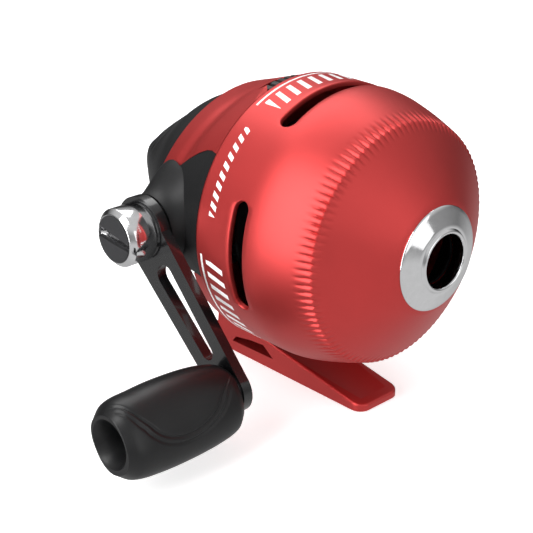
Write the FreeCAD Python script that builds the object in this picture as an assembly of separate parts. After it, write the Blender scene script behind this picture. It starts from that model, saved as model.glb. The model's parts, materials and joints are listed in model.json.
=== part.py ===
"""Spincast fishing reel, right-hand crank, built piece by piece.

Millimetres.  +X points along the spool axis to the line hole, +Y to the angler's
left, +Z up; the crank is on the -Y side.  The pieces are drawn about the spool
axis and lifted by AXIS_HEIGHT at the end, so the origin is the centre of the
foot's underside.
"""
import FreeCAD
import Part
import math
import os

V = FreeCAD.Vector

# ---------------------------------------------------------------- driving sizes
AXIS_HEIGHT = 44.5          # spool axis above the underside of the foot
RUN = 0.05                  # radial clearance of a running fit
GAP = 0.25                  # clearance between pieces that only pass each other

# front cover, a thin drawn aluminium bell
COVER_R = 34.1
COVER_WALL = 1.2
SHOULDER_X = 18.6           # where the straight band turns into the front slope
KNURL_X = 33.6
KNURL_R = 29.4
CONE_LENGTH = 11.1
SLOT_X = 13.7               # centre of the long windows
SLOT_WIDTH = 4.5
SIDE_SLOT_HALF = 23.4       # half the angle that a side window spans
TOP_SLOT_HALF = 33.5
# nose ring
NOSE_R = 12.7
NOSE_LENGTH = 2.9
EYE_R = 6.5                 # the hole that the line leaves by
NOSE_SPIGOT_R = 11.5
NOSE_SPIGOT = 2.5
# rubber brake ring inside the cover
BRAKE_X = 26.9
BRAKE_T = 3.2
BRAKE_R = 25.6

# rear body: circles (x, radius, centre height) that its skin passes through
BODY_SKIN = ((0.0, 33.7, 0.0), (-11.0, 31.6, -1.4), (-22.0, 29.4, -2.7), (-27.5, 27.3, -3.5))
SKIN_WALL = 1.2
SEAM_X = -22.0              # seam between top shell and thumb button, at SEAM_Z
SEAM_Z = 7.0
SEAM_SLOPE = 0.19           # how far the seam leans forward per mm of height
SIDE_REAR_X = -19.5         # rear edge of a side plate
SIDE_FLOOR = -9.4           # lower edge of the side plates
ARCH = ((-0.3, 20.0), (-3.6, 20.0), (-7.6, 18.0), (-12.6, 14.3), (-16.1, 10.6), (-18.7, 6.6))
RIM_LENGTH = 3.4            # rim that shows behind the cover, below the side plates
RIM_R = 33.2

# deck
DECK_T = 2.0
DECK_R = COVER_R - COVER_WALL - 0.2
SPIGOT_LENGTH = 5.0
SPIGOT_WALL = 2.7
HUB_R = 8.0
HUB_END = 15.7

# foot
FOOT_LENGTH = 59.2
FOOT_WIDTH = 14.6
FOOT_EDGE_R = 0.7
FOOT_TIP = 1.8              # thickness at either end
STEM_FRONT_X = 0.6
STEM_FRONT_Z = 6.9          # height of the wedge there, above the underside
STEM_REAR_X = -23.0
WINDOW = ((-17.2, 2.8), (-1.5, 3.2), (-5.3, 5.9), (-10.1, 5.5), (-15.9, 4.5))   # stem pocket: x, height

# gear case
CASE_R = 16.8               # drum about the crank axis that holds the gears
CASE_HALF_Y = 12.0
CASE_FLOOR = -16.5
CASE_WALL = 1.8
POD_HALF_Y = 13.0
POD_REAR = -23.5

# crank and gears
CRANK_X = -14.4
SHAFT_R = 2.5
THREAD_R = 1.9
CRANK_ANGLE = -45.0         # of the arm below the forward direction
CRANK_THROW = 43.9
ARM_FRONT = -39.0           # outer face of the arm
ARM_T = 2.6
ARM_HUB_R = 8.4
ARM_NECK_R = 7.4            # half width of the arm beside its hub
ARM_END_R = 5.6
ARM_SLOT_START = 12.8
ARM_SLOT_END = 33.5
ARM_RAIL = 4.0              # width of the bars on either side of the slot
BOSS_END = -35.6
BOSS_R = 8.2
GEAR_TEETH = 41
PINION_TEETH = 10
PINION_PITCH_R = 3.0
PRESSURE_ANGLE = 25.0
BACKLASH = 0.22
FACE_IN = 11.2              # face-gear teeth, from the crank axis
FACE_OUT = 13.4
GEAR_BACK = -6.4
CENTRE_SHAFT_R = 1.4
SLEEVE_R = 2.6              # pinion journal
BUSHING_R = 4.6
RATCHET_TEETH = 12
RATCHET_R = 8.0

# nut and knob
NUT_R = 7.2
NUT_END = -47.0
NUT_INSERT_R = 5.8
KNOB_INNER = -39.6
KNOB_OUTER = -73.6
KNOB_HOLE_R = 3.9

# spool and spinner
SPOOL_R = 25.5
SPOOL_CORE_R = 15.0
SPOOL_BACK = 4.0
SPOOL_FRONT = 16.2
SPINNER_R = 27.4
SPINNER_WALL = 1.3
SPINNER_DISC = 20.0
SPINNER_FRONT = 24.0
PICKUP_R = 0.9
PICKUP_X = 18.55
PICKUP_OUT = 1.6            # how far the pickup pin stands out of the spinner

# thumb button: (x, top, bottom, half width) of its sections
BUTTON = ((-17.0, 26.8, -30.8, 28.8), (-22.0, 25.1, -30.0, 27.8), (-27.0, 23.2, -23.0, 25.0),
          (-33.0, 19.9, -15.0, 20.9), (-39.0, 16.1, -8.0, 16.8), (-44.0, 12.6, -3.2, 12.9),
          (-47.6, 9.6, 0.6, 8.6), (-49.4, 7.6, 3.0, 4.6))
BUTTON_WALL = 1.4
BUTTON_FLOOR = -8.0
PIVOT_X = -26.0
PIVOT_Z = -11.0
PIVOT_R = 1.5

# drag dial
DIAL_R = 20.7
DIAL_Z = 11.6
DIAL_X0 = -4.8
DIAL_X1 = -0.8
DIAL_HALF = 48.0            # half the angle of the dial's sector
DIAL_TEETH = 15
DIAL_PIN_R = 1.5
DIAL_HUB_R = 3.4

EPS = 0.01
pieces = {}


# ---------------------------------------------------------------- solid helpers
def cyl_x(r, x0, x1, y=0.0, z=0.0):
    return Part.makeCylinder(r, abs(x1 - x0), V(min(x0, x1), y, z), V(1, 0, 0))


def cyl_y(r, y0, y1, x=0.0, z=0.0):
    return Part.makeCylinder(r, abs(y1 - y0), V(x, min(y0, y1), z), V(0, 1, 0))


def box(x0, x1, y0, y1, z0, z1):
    return Part.makeBox(x1 - x0, y1 - y0, z1 - z0, V(x0, y0, z0))


def revolve_x(points):
    """Turns a closed outline of (x, radius) about the spool axis."""
    wire = Part.makePolygon([V(x, 0, r) for x, r in points] + [V(points[0][0], 0, points[0][1])])
    return Part.Face(wire).revolve(V(0, 0, 0), V(1, 0, 0), 360)


def revolve_y(points, x=0.0, z=0.0):
    """Turns a closed outline of (y, radius) about an axis along Y."""
    wire = Part.makePolygon([V(x, y, z + r) for y, r in points]
                            + [V(x, points[0][0], z + points[0][1])])
    return Part.Face(wire).revolve(V(x, 0, z), V(0, 1, 0), 360)


def prism_y(points, y0, y1):
    """Extrudes a closed outline of (x, z) along Y."""
    wire = Part.makePolygon([V(x, y0, z) for x, z in points] + [V(points[0][0], y0, points[0][1])])
    return Part.Face(wire).extrude(V(0, y1 - y0, 0))


def oval_x(x, top, bottom, half):
    """Closed smooth ring in a plane across the spool axis."""
    middle, rise = (top + bottom) / 2, (top - bottom) / 2
    spline = Part.BSplineCurve()
    spline.interpolate([V(x, half * math.cos(a), middle + rise * math.sin(a))
                        for a in (2 * math.pi * i / 16 for i in range(16))], PeriodicFlag=True)
    return Part.Wire([spline.toShape()])


def skin(inset):
    """The rear body's round envelope, moved inwards by inset."""
    rings = [Part.Wire([Part.Circle(V(x, 0, z), V(1, 0, 0), r - inset).toShape()])
             for x, r, z in BODY_SKIN]
    return Part.makeLoft(rings, True)


def spring(radius, wire_r, length, turns):
    """Helical spring along +Z from the origin, its wire inside length."""
    height = length - 2 * wire_r
    helix = Part.makeHelix(height / turns, height, radius)
    profile = Part.Wire([Part.Circle(V(radius, 0, 0), V(0, 1, 0), wire_r).toShape()])
    coil = Part.Wire(helix.Edges).makePipeShell([profile], True, True)
    coil.translate(V(0, 0, wire_r))
    return coil


def turned(shape, base, axis, degrees):
    copy = shape.copy()
    copy.rotate(V(*base), V(*axis), degrees)
    return copy


def add(name, shape):
    """Keeps one piece, lifted from the spool axis to the foot's frame."""
    shape = shape.copy()
    shape.translate(V(0, 0, AXIS_HEIGHT))
    pieces[name] = shape


# ---------------------------------------------------------------- front cover
def cover_window(half_angle, direction):
    """Cutter for one long rounded window, centred on an angle about the axis."""
    reach = COVER_R + 5
    inner = COVER_R - 6
    ring = cyl_x(reach, SLOT_X - SLOT_WIDTH / 2, SLOT_X + SLOT_WIDTH / 2).cut(
        cyl_x(inner, SLOT_X - SLOT_WIDTH, SLOT_X + SLOT_WIDTH))
    end = math.degrees(SLOT_WIDTH / 2 / COVER_R)
    span = half_angle - end
    a0, a1 = math.radians(direction - span), math.radians(direction + span)
    far = reach * 2.5
    mid = math.radians(direction)
    corners = [V(0, 0, 0), V(0, far * math.cos(a0), far * math.sin(a0)),
               V(0, far * math.cos(mid), far * math.sin(mid)),
               V(0, far * math.cos(a1), far * math.sin(a1)), V(0, 0, 0)]
    wedge = Part.Face(Part.makePolygon(corners)).extrude(V(SLOT_X * 2 + 20, 0, 0))
    cutter = ring.common(wedge)
    for a in (a0, a1):
        out = V(0, math.cos(a), math.sin(a))
        cutter = cutter.fuse(Part.makeCylinder(SLOT_WIDTH / 2, reach - inner,
                                               V(SLOT_X, 0, 0) + out * inner, out))
    return cutter


def front_cover():
    nose_x = KNURL_X + CONE_LENGTH
    slope = (KNURL_R - NOSE_R) / CONE_LENGTH
    wall = COVER_WALL
    inner_knurl = KNURL_X - 0.7
    inner_nose = nose_x - wall * math.hypot(1, slope) / slope
    outline = [(0, COVER_R), (SHOULDER_X, COVER_R - 0.2), (KNURL_X, KNURL_R), (nose_x, NOSE_R),
               (nose_x, NOSE_SPIGOT_R), (inner_nose, NOSE_SPIGOT_R), (inner_nose, NOSE_R),
               (inner_knurl, KNURL_R - wall + 0.1), (SHOULDER_X - 0.2, COVER_R - 0.2 - wall),
               (0, COVER_R - wall)]
    cover = revolve_x(outline)
    for half, direction in ((SIDE_SLOT_HALF, 0), (SIDE_SLOT_HALF, 180), (TOP_SLOT_HALF, 90)):
        cover = cover.cut(cover_window(half, direction))
    add("front_cover", cover)


def nose_ring():
    x = KNURL_X + CONE_LENGTH
    lip = x + NOSE_LENGTH
    add("nose_ring", revolve_x([
        (x, NOSE_R), (lip - 0.5, EYE_R + 1.7), (lip, EYE_R + 1.2), (lip, EYE_R + 0.5),
        (lip - 0.5, EYE_R), (x - 1.5, EYE_R), (x - NOSE_SPIGOT, EYE_R + 1.5),
        (x - NOSE_SPIGOT, NOSE_SPIGOT_R), (x, NOSE_SPIGOT_R)]))


def brake_ring():
    """Rubber ring inside the cover that traps the line when the button is pressed."""
    slope = (COVER_R - 0.2 - KNURL_R - 0.1) / (KNURL_X - 0.7 - SHOULDER_X + 0.2)

    def seat(x):
        return COVER_R - 0.2 - COVER_WALL - slope * (x - SHOULDER_X + 0.2)
    x0, x1 = BRAKE_X, BRAKE_X + BRAKE_T
    add("line_brake_ring", revolve_x([(x0, seat(x0)), (x0, BRAKE_R), (x1, BRAKE_R), (x1, seat(x1))]))


# ---------------------------------------------------------------- frame and foot
def foot_and_stem():
    half, base = FOOT_LENGTH / 2, -AXIS_HEIGHT
    profile = [(half, base), (half, base + FOOT_TIP), (STEM_FRONT_X, base + STEM_FRONT_Z),
               (STEM_FRONT_X - 11, base + STEM_FRONT_Z + 2.2), (STEM_FRONT_X - 13, -28),
               (STEM_REAR_X + 1, -28), (STEM_REAR_X, base + STEM_FRONT_Z), (-half, base + FOOT_TIP),
               (-half, base)]
    foot = prism_y(profile, -FOOT_WIDTH / 2, FOOT_WIDTH / 2)
    corners = [e for e in foot.Edges if abs(abs(e.CenterOfMass.x) - half) < EPS
               and abs(abs(e.CenterOfMass.y) - FOOT_WIDTH / 2) < EPS]
    foot = foot.makeFillet(3.0, corners)
    rise = (STEM_FRONT_Z - FOOT_TIP) / (half - STEM_FRONT_X)

    def on_front_top(edge):
        """True on the rim of the front ramp, but not where the ramp meets the stem."""
        points = [v.Point for v in edge.Vertexes]
        level = all(abs(p.z - base - FOOT_TIP - rise * (half - p.x)) < EPS for p in points)
        return level and any(p.x > STEM_FRONT_X + EPS for p in points)
    foot = foot.makeFillet(FOOT_EDGE_R, [e for e in foot.Edges if on_front_top(e)])
    pocket = prism_y([(x, base + z) for x, z in WINDOW], -FOOT_WIDTH, FOOT_WIDTH)
    scoop_r = 24.0
    length = half - STEM_FRONT_X + 8
    tilt = math.atan(rise) - math.radians(1.4)
    scoop = Part.makeCylinder(scoop_r, length, V(half + 1, 0, base + FOOT_TIP + scoop_r - 0.25),
                              V(-math.cos(tilt), 0, math.sin(tilt)))
    return foot.cut(pocket).cut(scoop)


def case_block(inset, y):
    """Round-backed block about the crank axis, moved inwards by inset."""
    block = cyl_y(CASE_R - inset, -y, y, CRANK_X)
    rear, floor = CASE_REAR + inset, CASE_FLOOR + inset
    block = block.fuse(box(rear, 0, -y, y, floor, 0)).fuse(box(CRANK_X, 0, -y, y, floor, CASE_R - inset))
    return block.common(box(-60, 0, -60, 60, floor, 60))


def gear_case():
    """Round-backed case behind the deck that carries the button's pivot pin."""
    w = CASE_WALL
    inside = case_block(w, CASE_HALF_Y - w)
    case = case_block(0, CASE_HALF_Y).cut(inside)
    case = case.fuse(cyl_x(4.2, CASE_REAR, SEAT_X + 0.7))
    case = case.cut(cyl_x(SPRING_R + SPRING_WIRE_R + GAP, CASE_REAR - 1, SEAT_X))
    case = case.cut(box(DIAL_X0 - 0.5, 1, -30, 30, CASE_FLOOR + w, 30))
    case = case.cut(cyl_y(FACE_OUT + 0.9, -CASE_HALF_Y - 1, -CASE_HALF_Y + w + 0.5, CRANK_X))
    case = case.cut(cyl_y(PAWL_POST_R + 0.4, -CASE_HALF_Y - 1, -CASE_HALF_Y + w + 0.5, *PAWL_AT))
    case = case.cut(cyl_x(CENTRE_SHAFT_R + RUN, CASE_REAR - 1, CASE_REAR + 3))
    for side in (-1, 1):
        ear = cyl_y(3.4, side * (CASE_HALF_Y - w), side * (CASE_HALF_Y + 0.4), PIVOT_X, PIVOT_Z)
        case = case.fuse(ear)
    return case.cut(cyl_y(PIVOT_R, -20, 20, PIVOT_X, PIVOT_Z))


def body_frame():
    w = CASE_WALL
    deck = cyl_x(DECK_R, 0, DECK_T)
    spigot = cyl_x(DECK_R, 0, SPIGOT_LENGTH).cut(cyl_x(DECK_R - SPIGOT_WALL, -1, SPIGOT_LENGTH + 1))
    groove = cyl_x(DECK_R + 1, 2.8, 4.3).cut(cyl_x(DECK_R - 1.2, 2, 5))
    hub = cyl_x(HUB_R, 0, HUB_END)
    hub_groove = cyl_x(HUB_R + 1, HUB_END - 1.3, HUB_END - 0.6).cut(
        cyl_x(HUB_R - 0.6, HUB_END - 2, HUB_END + 1))
    rim = cyl_x(RIM_R, -RIM_LENGTH, 0).cut(cyl_x(RIM_R - 3, -RIM_LENGTH - 1, 1))
    rim = rim.common(box(-9, 9, -40, 40, -40, SIDE_FLOOR - 0.15))
    envelope = skin(0.0)
    pod = envelope.common(box(POD_REAR, 0, -POD_HALF_Y, POD_HALF_Y, -40, CASE_FLOOR + w))
    pod = pod.cut(skin(w + 0.3).common(box(POD_REAR + w, 0, -POD_HALF_Y + w, POD_HALF_Y - w,
                                           -40, CASE_FLOOR - EPS)))
    floor = skin(SKIN_WALL + 0.1).common(box(SIDE_REAR_X - 2.5, 0, -40, 40,
                                             SIDE_FLOOR - 0.2, SIDE_FLOOR + 1.2))
    floor = floor.cut(box(CASE_REAR, 1, -CASE_HALF_Y + w, CASE_HALF_Y - w, -20, 20))
    floor = floor.cut(box(-60, BUTTON[1][0] + 1.5, -40, -CASE_HALF_Y - 0.2, -20, 20))
    floor = floor.cut(box(-60, BUTTON[1][0] + 1.5, CASE_HALF_Y + 0.2, 40, -20, 20))
    frame = deck.fuse([spigot, hub, rim, pod, floor, gear_case(), foot_and_stem()])
    frame = frame.cut(groove).cut(hub_groove)
    frame = frame.cut(cyl_x(BUSHING_R, -1, HUB_END + 1)).cut(cyl_x(DIAL_PIN_R, -1, 5, 0, DIAL_Z))
    frame = frame.cut(GEAR_SWEEP)
    for y, z in SCREWS:
        frame = frame.cut(cyl_x(SCREW_R, -1, 5, y, z))
    add("body_frame", frame.removeSplitter())


# ---------------------------------------------------------------- shells
def side_outline(grow):
    """XZ outline of a side plate, moved outwards by grow."""
    arch = [(x - (grow if i > 2 else 0), z + grow) for i, (x, z) in enumerate(ARCH)]
    rear = SIDE_REAR_X - grow
    spline = Part.BSplineCurve()
    spline.interpolate([V(x, -60, z) for x, z in arch] + [V(rear, -60, 2.5)])
    low = V(rear, -60, SIDE_FLOOR - 40 * (grow > 0))
    front = V(arch[0][0] + 5, -60, low.z)
    top = V(front.x, -60, arch[0][1])
    ends = [V(rear, -60, 2.5), low, front, top, V(arch[0][0], -60, arch[0][1])]
    edges = [spline.toShape()] + [Part.makeLine(a, b) for a, b in zip(ends, ends[1:])]
    return Part.Face(Part.Wire(edges)).extrude(V(0, 120, 0))


def body_shell():
    """The whole rear skin between the deck and the button's seam."""
    shell = skin(0.0).cut(skin(SKIN_WALL))
    lean = SEAM_SLOPE
    rear = prism_y([(SEAM_X + lean * (-60 - SEAM_Z), -60), (SEAM_X + lean * (60 - SEAM_Z), 60),
                    (-80, 60), (-80, -60)], -60, 60)
    return shell.cut(rear).common(box(-60, -0.05, -60, 60, SIDE_FLOOR, 60))


def top_shell():
    shell = body_shell().cut(side_outline(0.12))
    for side in (-1, 1):
        y, z = SCREWS[0][0] * side, SCREWS[0][1]
        post = cyl_x(2.4, -9, -0.05, y, z).fuse(box(-9, -0.05, y - 0.9, y + 0.9, z, 26))
        shell = shell.fuse(post.common(skin(0.3)))
        shell = shell.cut(cyl_x(SCREW_R - 0.1, -8, 1, y, z))
    ends = []
    for z, half_x, half_y in ((30.0, 0.2, 14.2), (36.0, 16.7, 21.0)):
        rim = Part.Ellipse(V(0, 0, z), half_y, half_x).toShape()
        ends.append(Part.Wire([turned(rim, (0, 0, z), (0, 0, 1), 90)]))
    scoop = Part.makeLoft(ends, True)
    relief = cyl_x(DIAL_R + 0.5, DIAL_X0 - 0.4, 1, 0, DIAL_Z)
    add("top_shell", shell.cut(scoop).cut(relief))


def fairing():
    """Smooth root of the crank boss, from a round end to a tall rounded base."""
    def ring(y, half_x, half_z, cx, cz, power):
        points = []
        for i in range(16):
            a = 2 * math.pi * i / 16
            c, s = math.cos(a), math.sin(a)
            points.append(V(cx + half_x * math.copysign(abs(c) ** (2 / power), c), y,
                            cz + half_z * math.copysign(abs(s) ** (2 / power), s)))
        spline = Part.BSplineCurve()
        spline.interpolate(points, PeriodicFlag=True)
        return Part.Wire([spline.toShape()])
    return Part.makeLoft([ring(BOSS_END, BOSS_R, BOSS_R, CRANK_X, 0, 2.0),
                          ring(BOSS_END + 2, BOSS_R + 0.4, BOSS_R + 0.4, CRANK_X, 0, 2.0),
                          ring(BOSS_END + 5.5, 9.6, 10.6, CRANK_X + 0.4, 0.8, 2.2),
                          ring(BOSS_END + 12, 10.6, 12.6, CRANK_X + 1.2, 2.0, 2.6)], True)


def side_plates():
    outline = side_outline(0.0)
    shell = body_shell().common(outline)
    left = shell.common(box(-60, 0, 0, 60, -60, 60))
    right = shell.common(box(-60, 0, -60, 0, -60, 60))
    post = cyl_x(2.4, -9, -0.05, SCREWS[2][0], SCREWS[2][1]).fuse(
        box(-9, -0.05, SCREWS[2][0], 40, SCREWS[2][1] - 0.9, SCREWS[2][1] + 0.9)).common(skin(0.3))
    hole = cyl_x(SCREW_R - 0.1, -8, 1, SCREWS[2][0], SCREWS[2][1])
    add("side_plate_left", left.fuse(post).cut(hole).removeSplitter())

    mirrored = post.mirror(V(0, 0, 0), V(0, 1, 0))
    tube = cyl_y(CRANK_TUBE_R, -32, -CASE_HALF_Y - 0.2, CRANK_X)
    pawl_post = cyl_y(PAWL_POST_R, -30, -11.2, *PAWL_AT).common(skin(0.3))
    root = fairing().cut(skin(SKIN_WALL * 0.5).common(outline)).cut(skin(-0.12).cut(outline))
    right = right.fuse([root, mirrored, tube, pawl_post])
    right = right.cut(cyl_y(CRANK_BUSH_R, -40, -5, CRANK_X)).cut(cyl_y(1.0, -16, -5, *PAWL_AT))
    right = right.cut(hole.mirror(V(0, 0, 0), V(0, 1, 0)))
    add("side_plate_right", right.removeSplitter())


# ---------------------------------------------------------------- fasteners in the deck
SCREW_R = 1.25
SCREWS = ((21.3, 13.5), (-21.3, 13.5), (25.0, -4.6), (-25.0, -4.6))   # (y, z)
CRANK_TUBE_R = 5.0
CRANK_BUSH_R = 3.8
PAWL_AT = (CRANK_X + 8.84, 8.84)    # (x, z)
PAWL_POST_R = 2.2
GEAR_SWEEP = cyl_y(FACE_OUT + 0.5, GEAR_BACK - 0.5, -1.9, CRANK_X)


def deck_screws():
    group = []
    for y, z in SCREWS:
        head = cyl_x(2.3, DECK_T, DECK_T + 1.5, y, z)
        slot = box(DECK_T + 0.8, DECK_T + 3, y - 3, y + 3, z - 0.35, z + 0.35)
        group.append(head.fuse(cyl_x(SCREW_R - 0.1, -7, DECK_T, y, z)).cut(slot))
    add("deck_screws", Part.makeCompound(group))


def cover_o_ring():
    r = 0.6
    torus = Part.makeTorus(DECK_R - 1.2 + r, r, V(3.55, 0, 0), V(1, 0, 0))
    add("cover_o_ring", torus)


# ---------------------------------------------------------------- thumb button
def thumb_button():
    outer = Part.makeLoft([oval_x(*s) for s in BUTTON], True)
    w = BUTTON_WALL
    inner = Part.makeLoft([oval_x(x + w * (i > 3), t - w, b + w, h - w)
                           for i, (x, t, b, h) in enumerate(BUTTON[:-1])], True)
    mouth = box(BUTTON[0][0] - EPS, BUTTON[0][0] + 2, -40, 40, -40, 40)
    shell = outer.cut(inner).cut(mouth).cut(box(-60, 0, -40, 40, -60, BUTTON_FLOOR))
    lean = SEAM_SLOPE
    lap = 1.0                               # the button's edge runs this far under the band
    shell = shell.cut(prism_y([(SEAM_X + lap + lean * (-60 - SEAM_Z), -60),
                               (SEAM_X + lap + lean * (60 - SEAM_Z), 60),
                               (20, 60), (20, -60)], -60, 60))
    notch = box(-24.8, 0, -40, -20, -6.5, 7.0)
    shell = shell.cut(notch)
    floor = outer.common(box(-60, PIVOT_X - 1, -15.4, 15.4, BUTTON_FLOOR, BUTTON_FLOOR + w))
    floor = floor.cut(box(CASE_REAR - 1.8, 0, -CASE_HALF_Y - 0.9, CASE_HALF_Y + 0.9, -20, 20))
    parts = [floor]
    for side in (-1, 1):
        y0, y1 = sorted((side * (CASE_HALF_Y + 0.9), side * (CASE_HALF_Y + 3.4)))
        ear = cyl_y(3.0, y0, y1, PIVOT_X, PIVOT_Z).fuse(
            prism_y([(PIVOT_X - 2.8, PIVOT_Z), (PIVOT_X + 2.8, PIVOT_Z), (PIVOT_X + 2.0, -6.6),
                     (PIVOT_X - 8, -6.6)], y0, y1))
        web = box(PIVOT_X - 8, PIVOT_X + 2.0, y0, y1, BUTTON_FLOOR, BUTTON_FLOOR + w).fuse(
            box(PIVOT_X - 8, PIVOT_X + 2.0, *sorted((side * 13.0, side * 24.0)),
                BUTTON_FLOOR, BUTTON_FLOOR + w).common(outer))
        parts += [ear, web]
    pad_back = -46.0
    pad = cyl_x(3.2, pad_back, SHAFT_END - PAD_GAP).fuse(
        box(pad_back, SHAFT_END - PAD_GAP - 2, -0.8, 0.8, -3, 12)).common(outer)
    shell = shell.fuse(parts + [pad]).cut(cyl_y(PIVOT_R + RUN, -20, 20, PIVOT_X, PIVOT_Z))
    add("thumb_button", shell.removeSplitter())
    add("button_pin", cyl_y(PIVOT_R, -CASE_HALF_Y - 3.6, CASE_HALF_Y + 3.6, PIVOT_X, PIVOT_Z))


# ---------------------------------------------------------------- drag
def drag_dial():
    hub = cyl_x(DIAL_HUB_R, DIAL_X0 + 1.7, DIAL_X1, 0, DIAL_Z)
    disc = cyl_x(DIAL_R, DIAL_X0, DIAL_X1, 0, DIAL_Z).cut(cyl_x(DIAL_R - 3.4, -9, 0, 0, DIAL_Z))
    web = cyl_x(DIAL_R - 3, DIAL_X0 + 1.7, DIAL_X1 - 0.3, 0, DIAL_Z)
    far = DIAL_R * 3
    a = math.radians(DIAL_HALF)
    wedge = Part.Face(Part.makePolygon([V(-9, 0, DIAL_Z), V(-9, far * math.sin(a), DIAL_Z + far * math.cos(a)),
                                        V(-9, -far * math.sin(a), DIAL_Z + far * math.cos(a)),
                                        V(-9, 0, DIAL_Z)])).extrude(V(12, 0, 0))
    dial = disc.fuse(web).common(wedge).fuse(hub)
    for i in range(DIAL_TEETH):
        angle = DIAL_HALF * (2 * (i + 0.5) / DIAL_TEETH - 1)
        groove = cyl_x(0.9, DIAL_X0 - 1, DIAL_X1 + 1, 0, DIAL_Z + DIAL_R + 0.2)
        dial = dial.cut(turned(groove, (0, 0, DIAL_Z), (1, 0, 0), angle))
    dial = dial.cut(cyl_x(DIAL_PIN_R + RUN, -9, 1, 0, DIAL_Z))
    add("drag_dial", dial)
    head_x = DIAL_X0 + 1.6
    pin = cyl_x(DIAL_PIN_R, head_x, DECK_T, 0, DIAL_Z).fuse(
        cyl_x(DIAL_PIN_R + 0.8, head_x - 0.7, head_x, 0, DIAL_Z))
    add("drag_dial_pin", pin)
    leaf = box(DECK_T, DECK_T + 0.5, -10, 10, 9.6, 13.6).fuse(
        box(DECK_T + 0.5, DECK_T + 1.6, 8, 10, 9.6, 13.6))
    add("drag_spring", leaf)


# ---------------------------------------------------------------- spool and spinner
def spool():
    b, f = SPOOL_BACK, SPOOL_FRONT
    bore = HUB_R + RUN
    end = HUB_END - 1.4
    add("spool", revolve_x([
        (b, bore), (b, SPOOL_R - 1), (b + 0.5, SPOOL_R), (b + 1.5, SPOOL_R), (b + 1.5, SPOOL_CORE_R),
        (f - 1.3, SPOOL_CORE_R), (f - 1.3, SPOOL_R - 1.2), (f, SPOOL_R - 1.2), (f, 12.5),
        (8.5, 12.5), (8.5, 10.2), (end, 10.2), (end, bore)]))
    clip = cyl_x(9.6, HUB_END - 1.25, HUB_END - 0.65).cut(cyl_x(HUB_R - 0.6, 0, 30))
    add("spool_clip", clip.cut(box(0, 30, -1.6, 1.6, -20, 0)))


def spinner():
    d, f, w = SPINNER_DISC, SPINNER_FRONT, SPINNER_WALL
    cup = revolve_x([
        (17.8, CENTRE_SHAFT_R), (17.8, 4.0), (d, 4.6), (d, SPINNER_R - w), (14.2, SPINNER_R - w),
        (14.2, SPINNER_R), (f - 1, SPINNER_R), (f, SPINNER_R - 1), (f, SPINNER_R - 2.2),
        (d + w, SPINNER_R - 4.5), (d + w, CENTRE_SHAFT_R)])
    x = PICKUP_X
    block = box(x - 1.5, d + 0.1, -2.2, 2.2, 18.5, 22.0)
    cup = cup.fuse(block).cut(Part.makeCylinder(PICKUP_R + RUN, 14, V(x, 0, 16), V(0, 0, 1)))
    add("spinner_head", cup)
    tip = SPINNER_R + PICKUP_OUT
    collar = SPINNER_R - SPINNER_WALL - 1.0
    pin = Part.makeCylinder(PICKUP_R, tip - 19.7, V(x, 0, 19.7), V(0, 0, 1)).fuse(
        Part.makeCylinder(1.3, 0.7, V(x, 0, collar), V(0, 0, 1)))
    add("pickup_pin", pin)
    coil = spring(1.18, 0.12, collar - PICKUP_OUT - 22.1, 2.5)
    coil.translate(V(x, 0, 22.05))
    add("pickup_spring", coil)
    nut = Part.Face(Part.makePolygon([V(d + w, 3.1 * math.cos(k * math.pi / 3), 3.1 * math.sin(k * math.pi / 3))
                                      for k in range(7)])).extrude(V(2.4, 0, 0))
    add("spinner_nut", nut.cut(cyl_x(CENTRE_SHAFT_R, 0, 40)))


# ---------------------------------------------------------------- shafts
SHAFT_END = -38.2           # rear tip of the centre shaft
PAD_GAP = 0.5               # free play between button and shaft
SPRING_BACK = -35.4
SPRING_R = 2.1
SPRING_WIRE_R = 0.3
SHAFT_TRAVEL = 2.1
SHAFT_FLAT = 1.0            # distance of the shaft's flat from its axis
PINION_REAR = CRANK_X + FACE_IN - 0.2
CASE_REAR = CRANK_X - CASE_R
SEAT_X = CASE_REAR + SHAFT_TRAVEL + 0.1     # floor of the return spring's pocket


def centre_shaft():
    shaft = cyl_x(CENTRE_SHAFT_R, SHAFT_END, 25.2)
    dome = Part.makeSphere(2.0, V(SHAFT_END + 2.0, 0, 0)).fuse(cyl_x(3, SHAFT_END + 1.4, 30))
    shaft = shaft.common(dome)
    shaft = shaft.cut(box(PINION_REAR - SHAFT_TRAVEL - 0.4, 17.5, SHAFT_FLAT, 3, -3, 3))
    groove = cyl_x(3, SPRING_BACK - 0.65, SPRING_BACK - 0.05).cut(cyl_x(1.0, -50, 0))
    add("centre_shaft", shaft.cut(groove))
    clip = cyl_x(3.2, SPRING_BACK - 0.6, SPRING_BACK - 0.1).cut(cyl_x(1.0, -50, 0))
    add("shaft_clip", clip.cut(box(-50, 0, -0.9, 0.9, -5, 0)))
    coil = spring(SPRING_R, SPRING_WIRE_R, CASE_REAR - SPRING_BACK - 0.1, 3.5)
    coil.rotate(V(0, 0, 0), V(0, 1, 0), 90)
    coil.translate(V(SPRING_BACK + 0.05, 0, 0))
    add("shaft_return_spring", coil)


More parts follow.
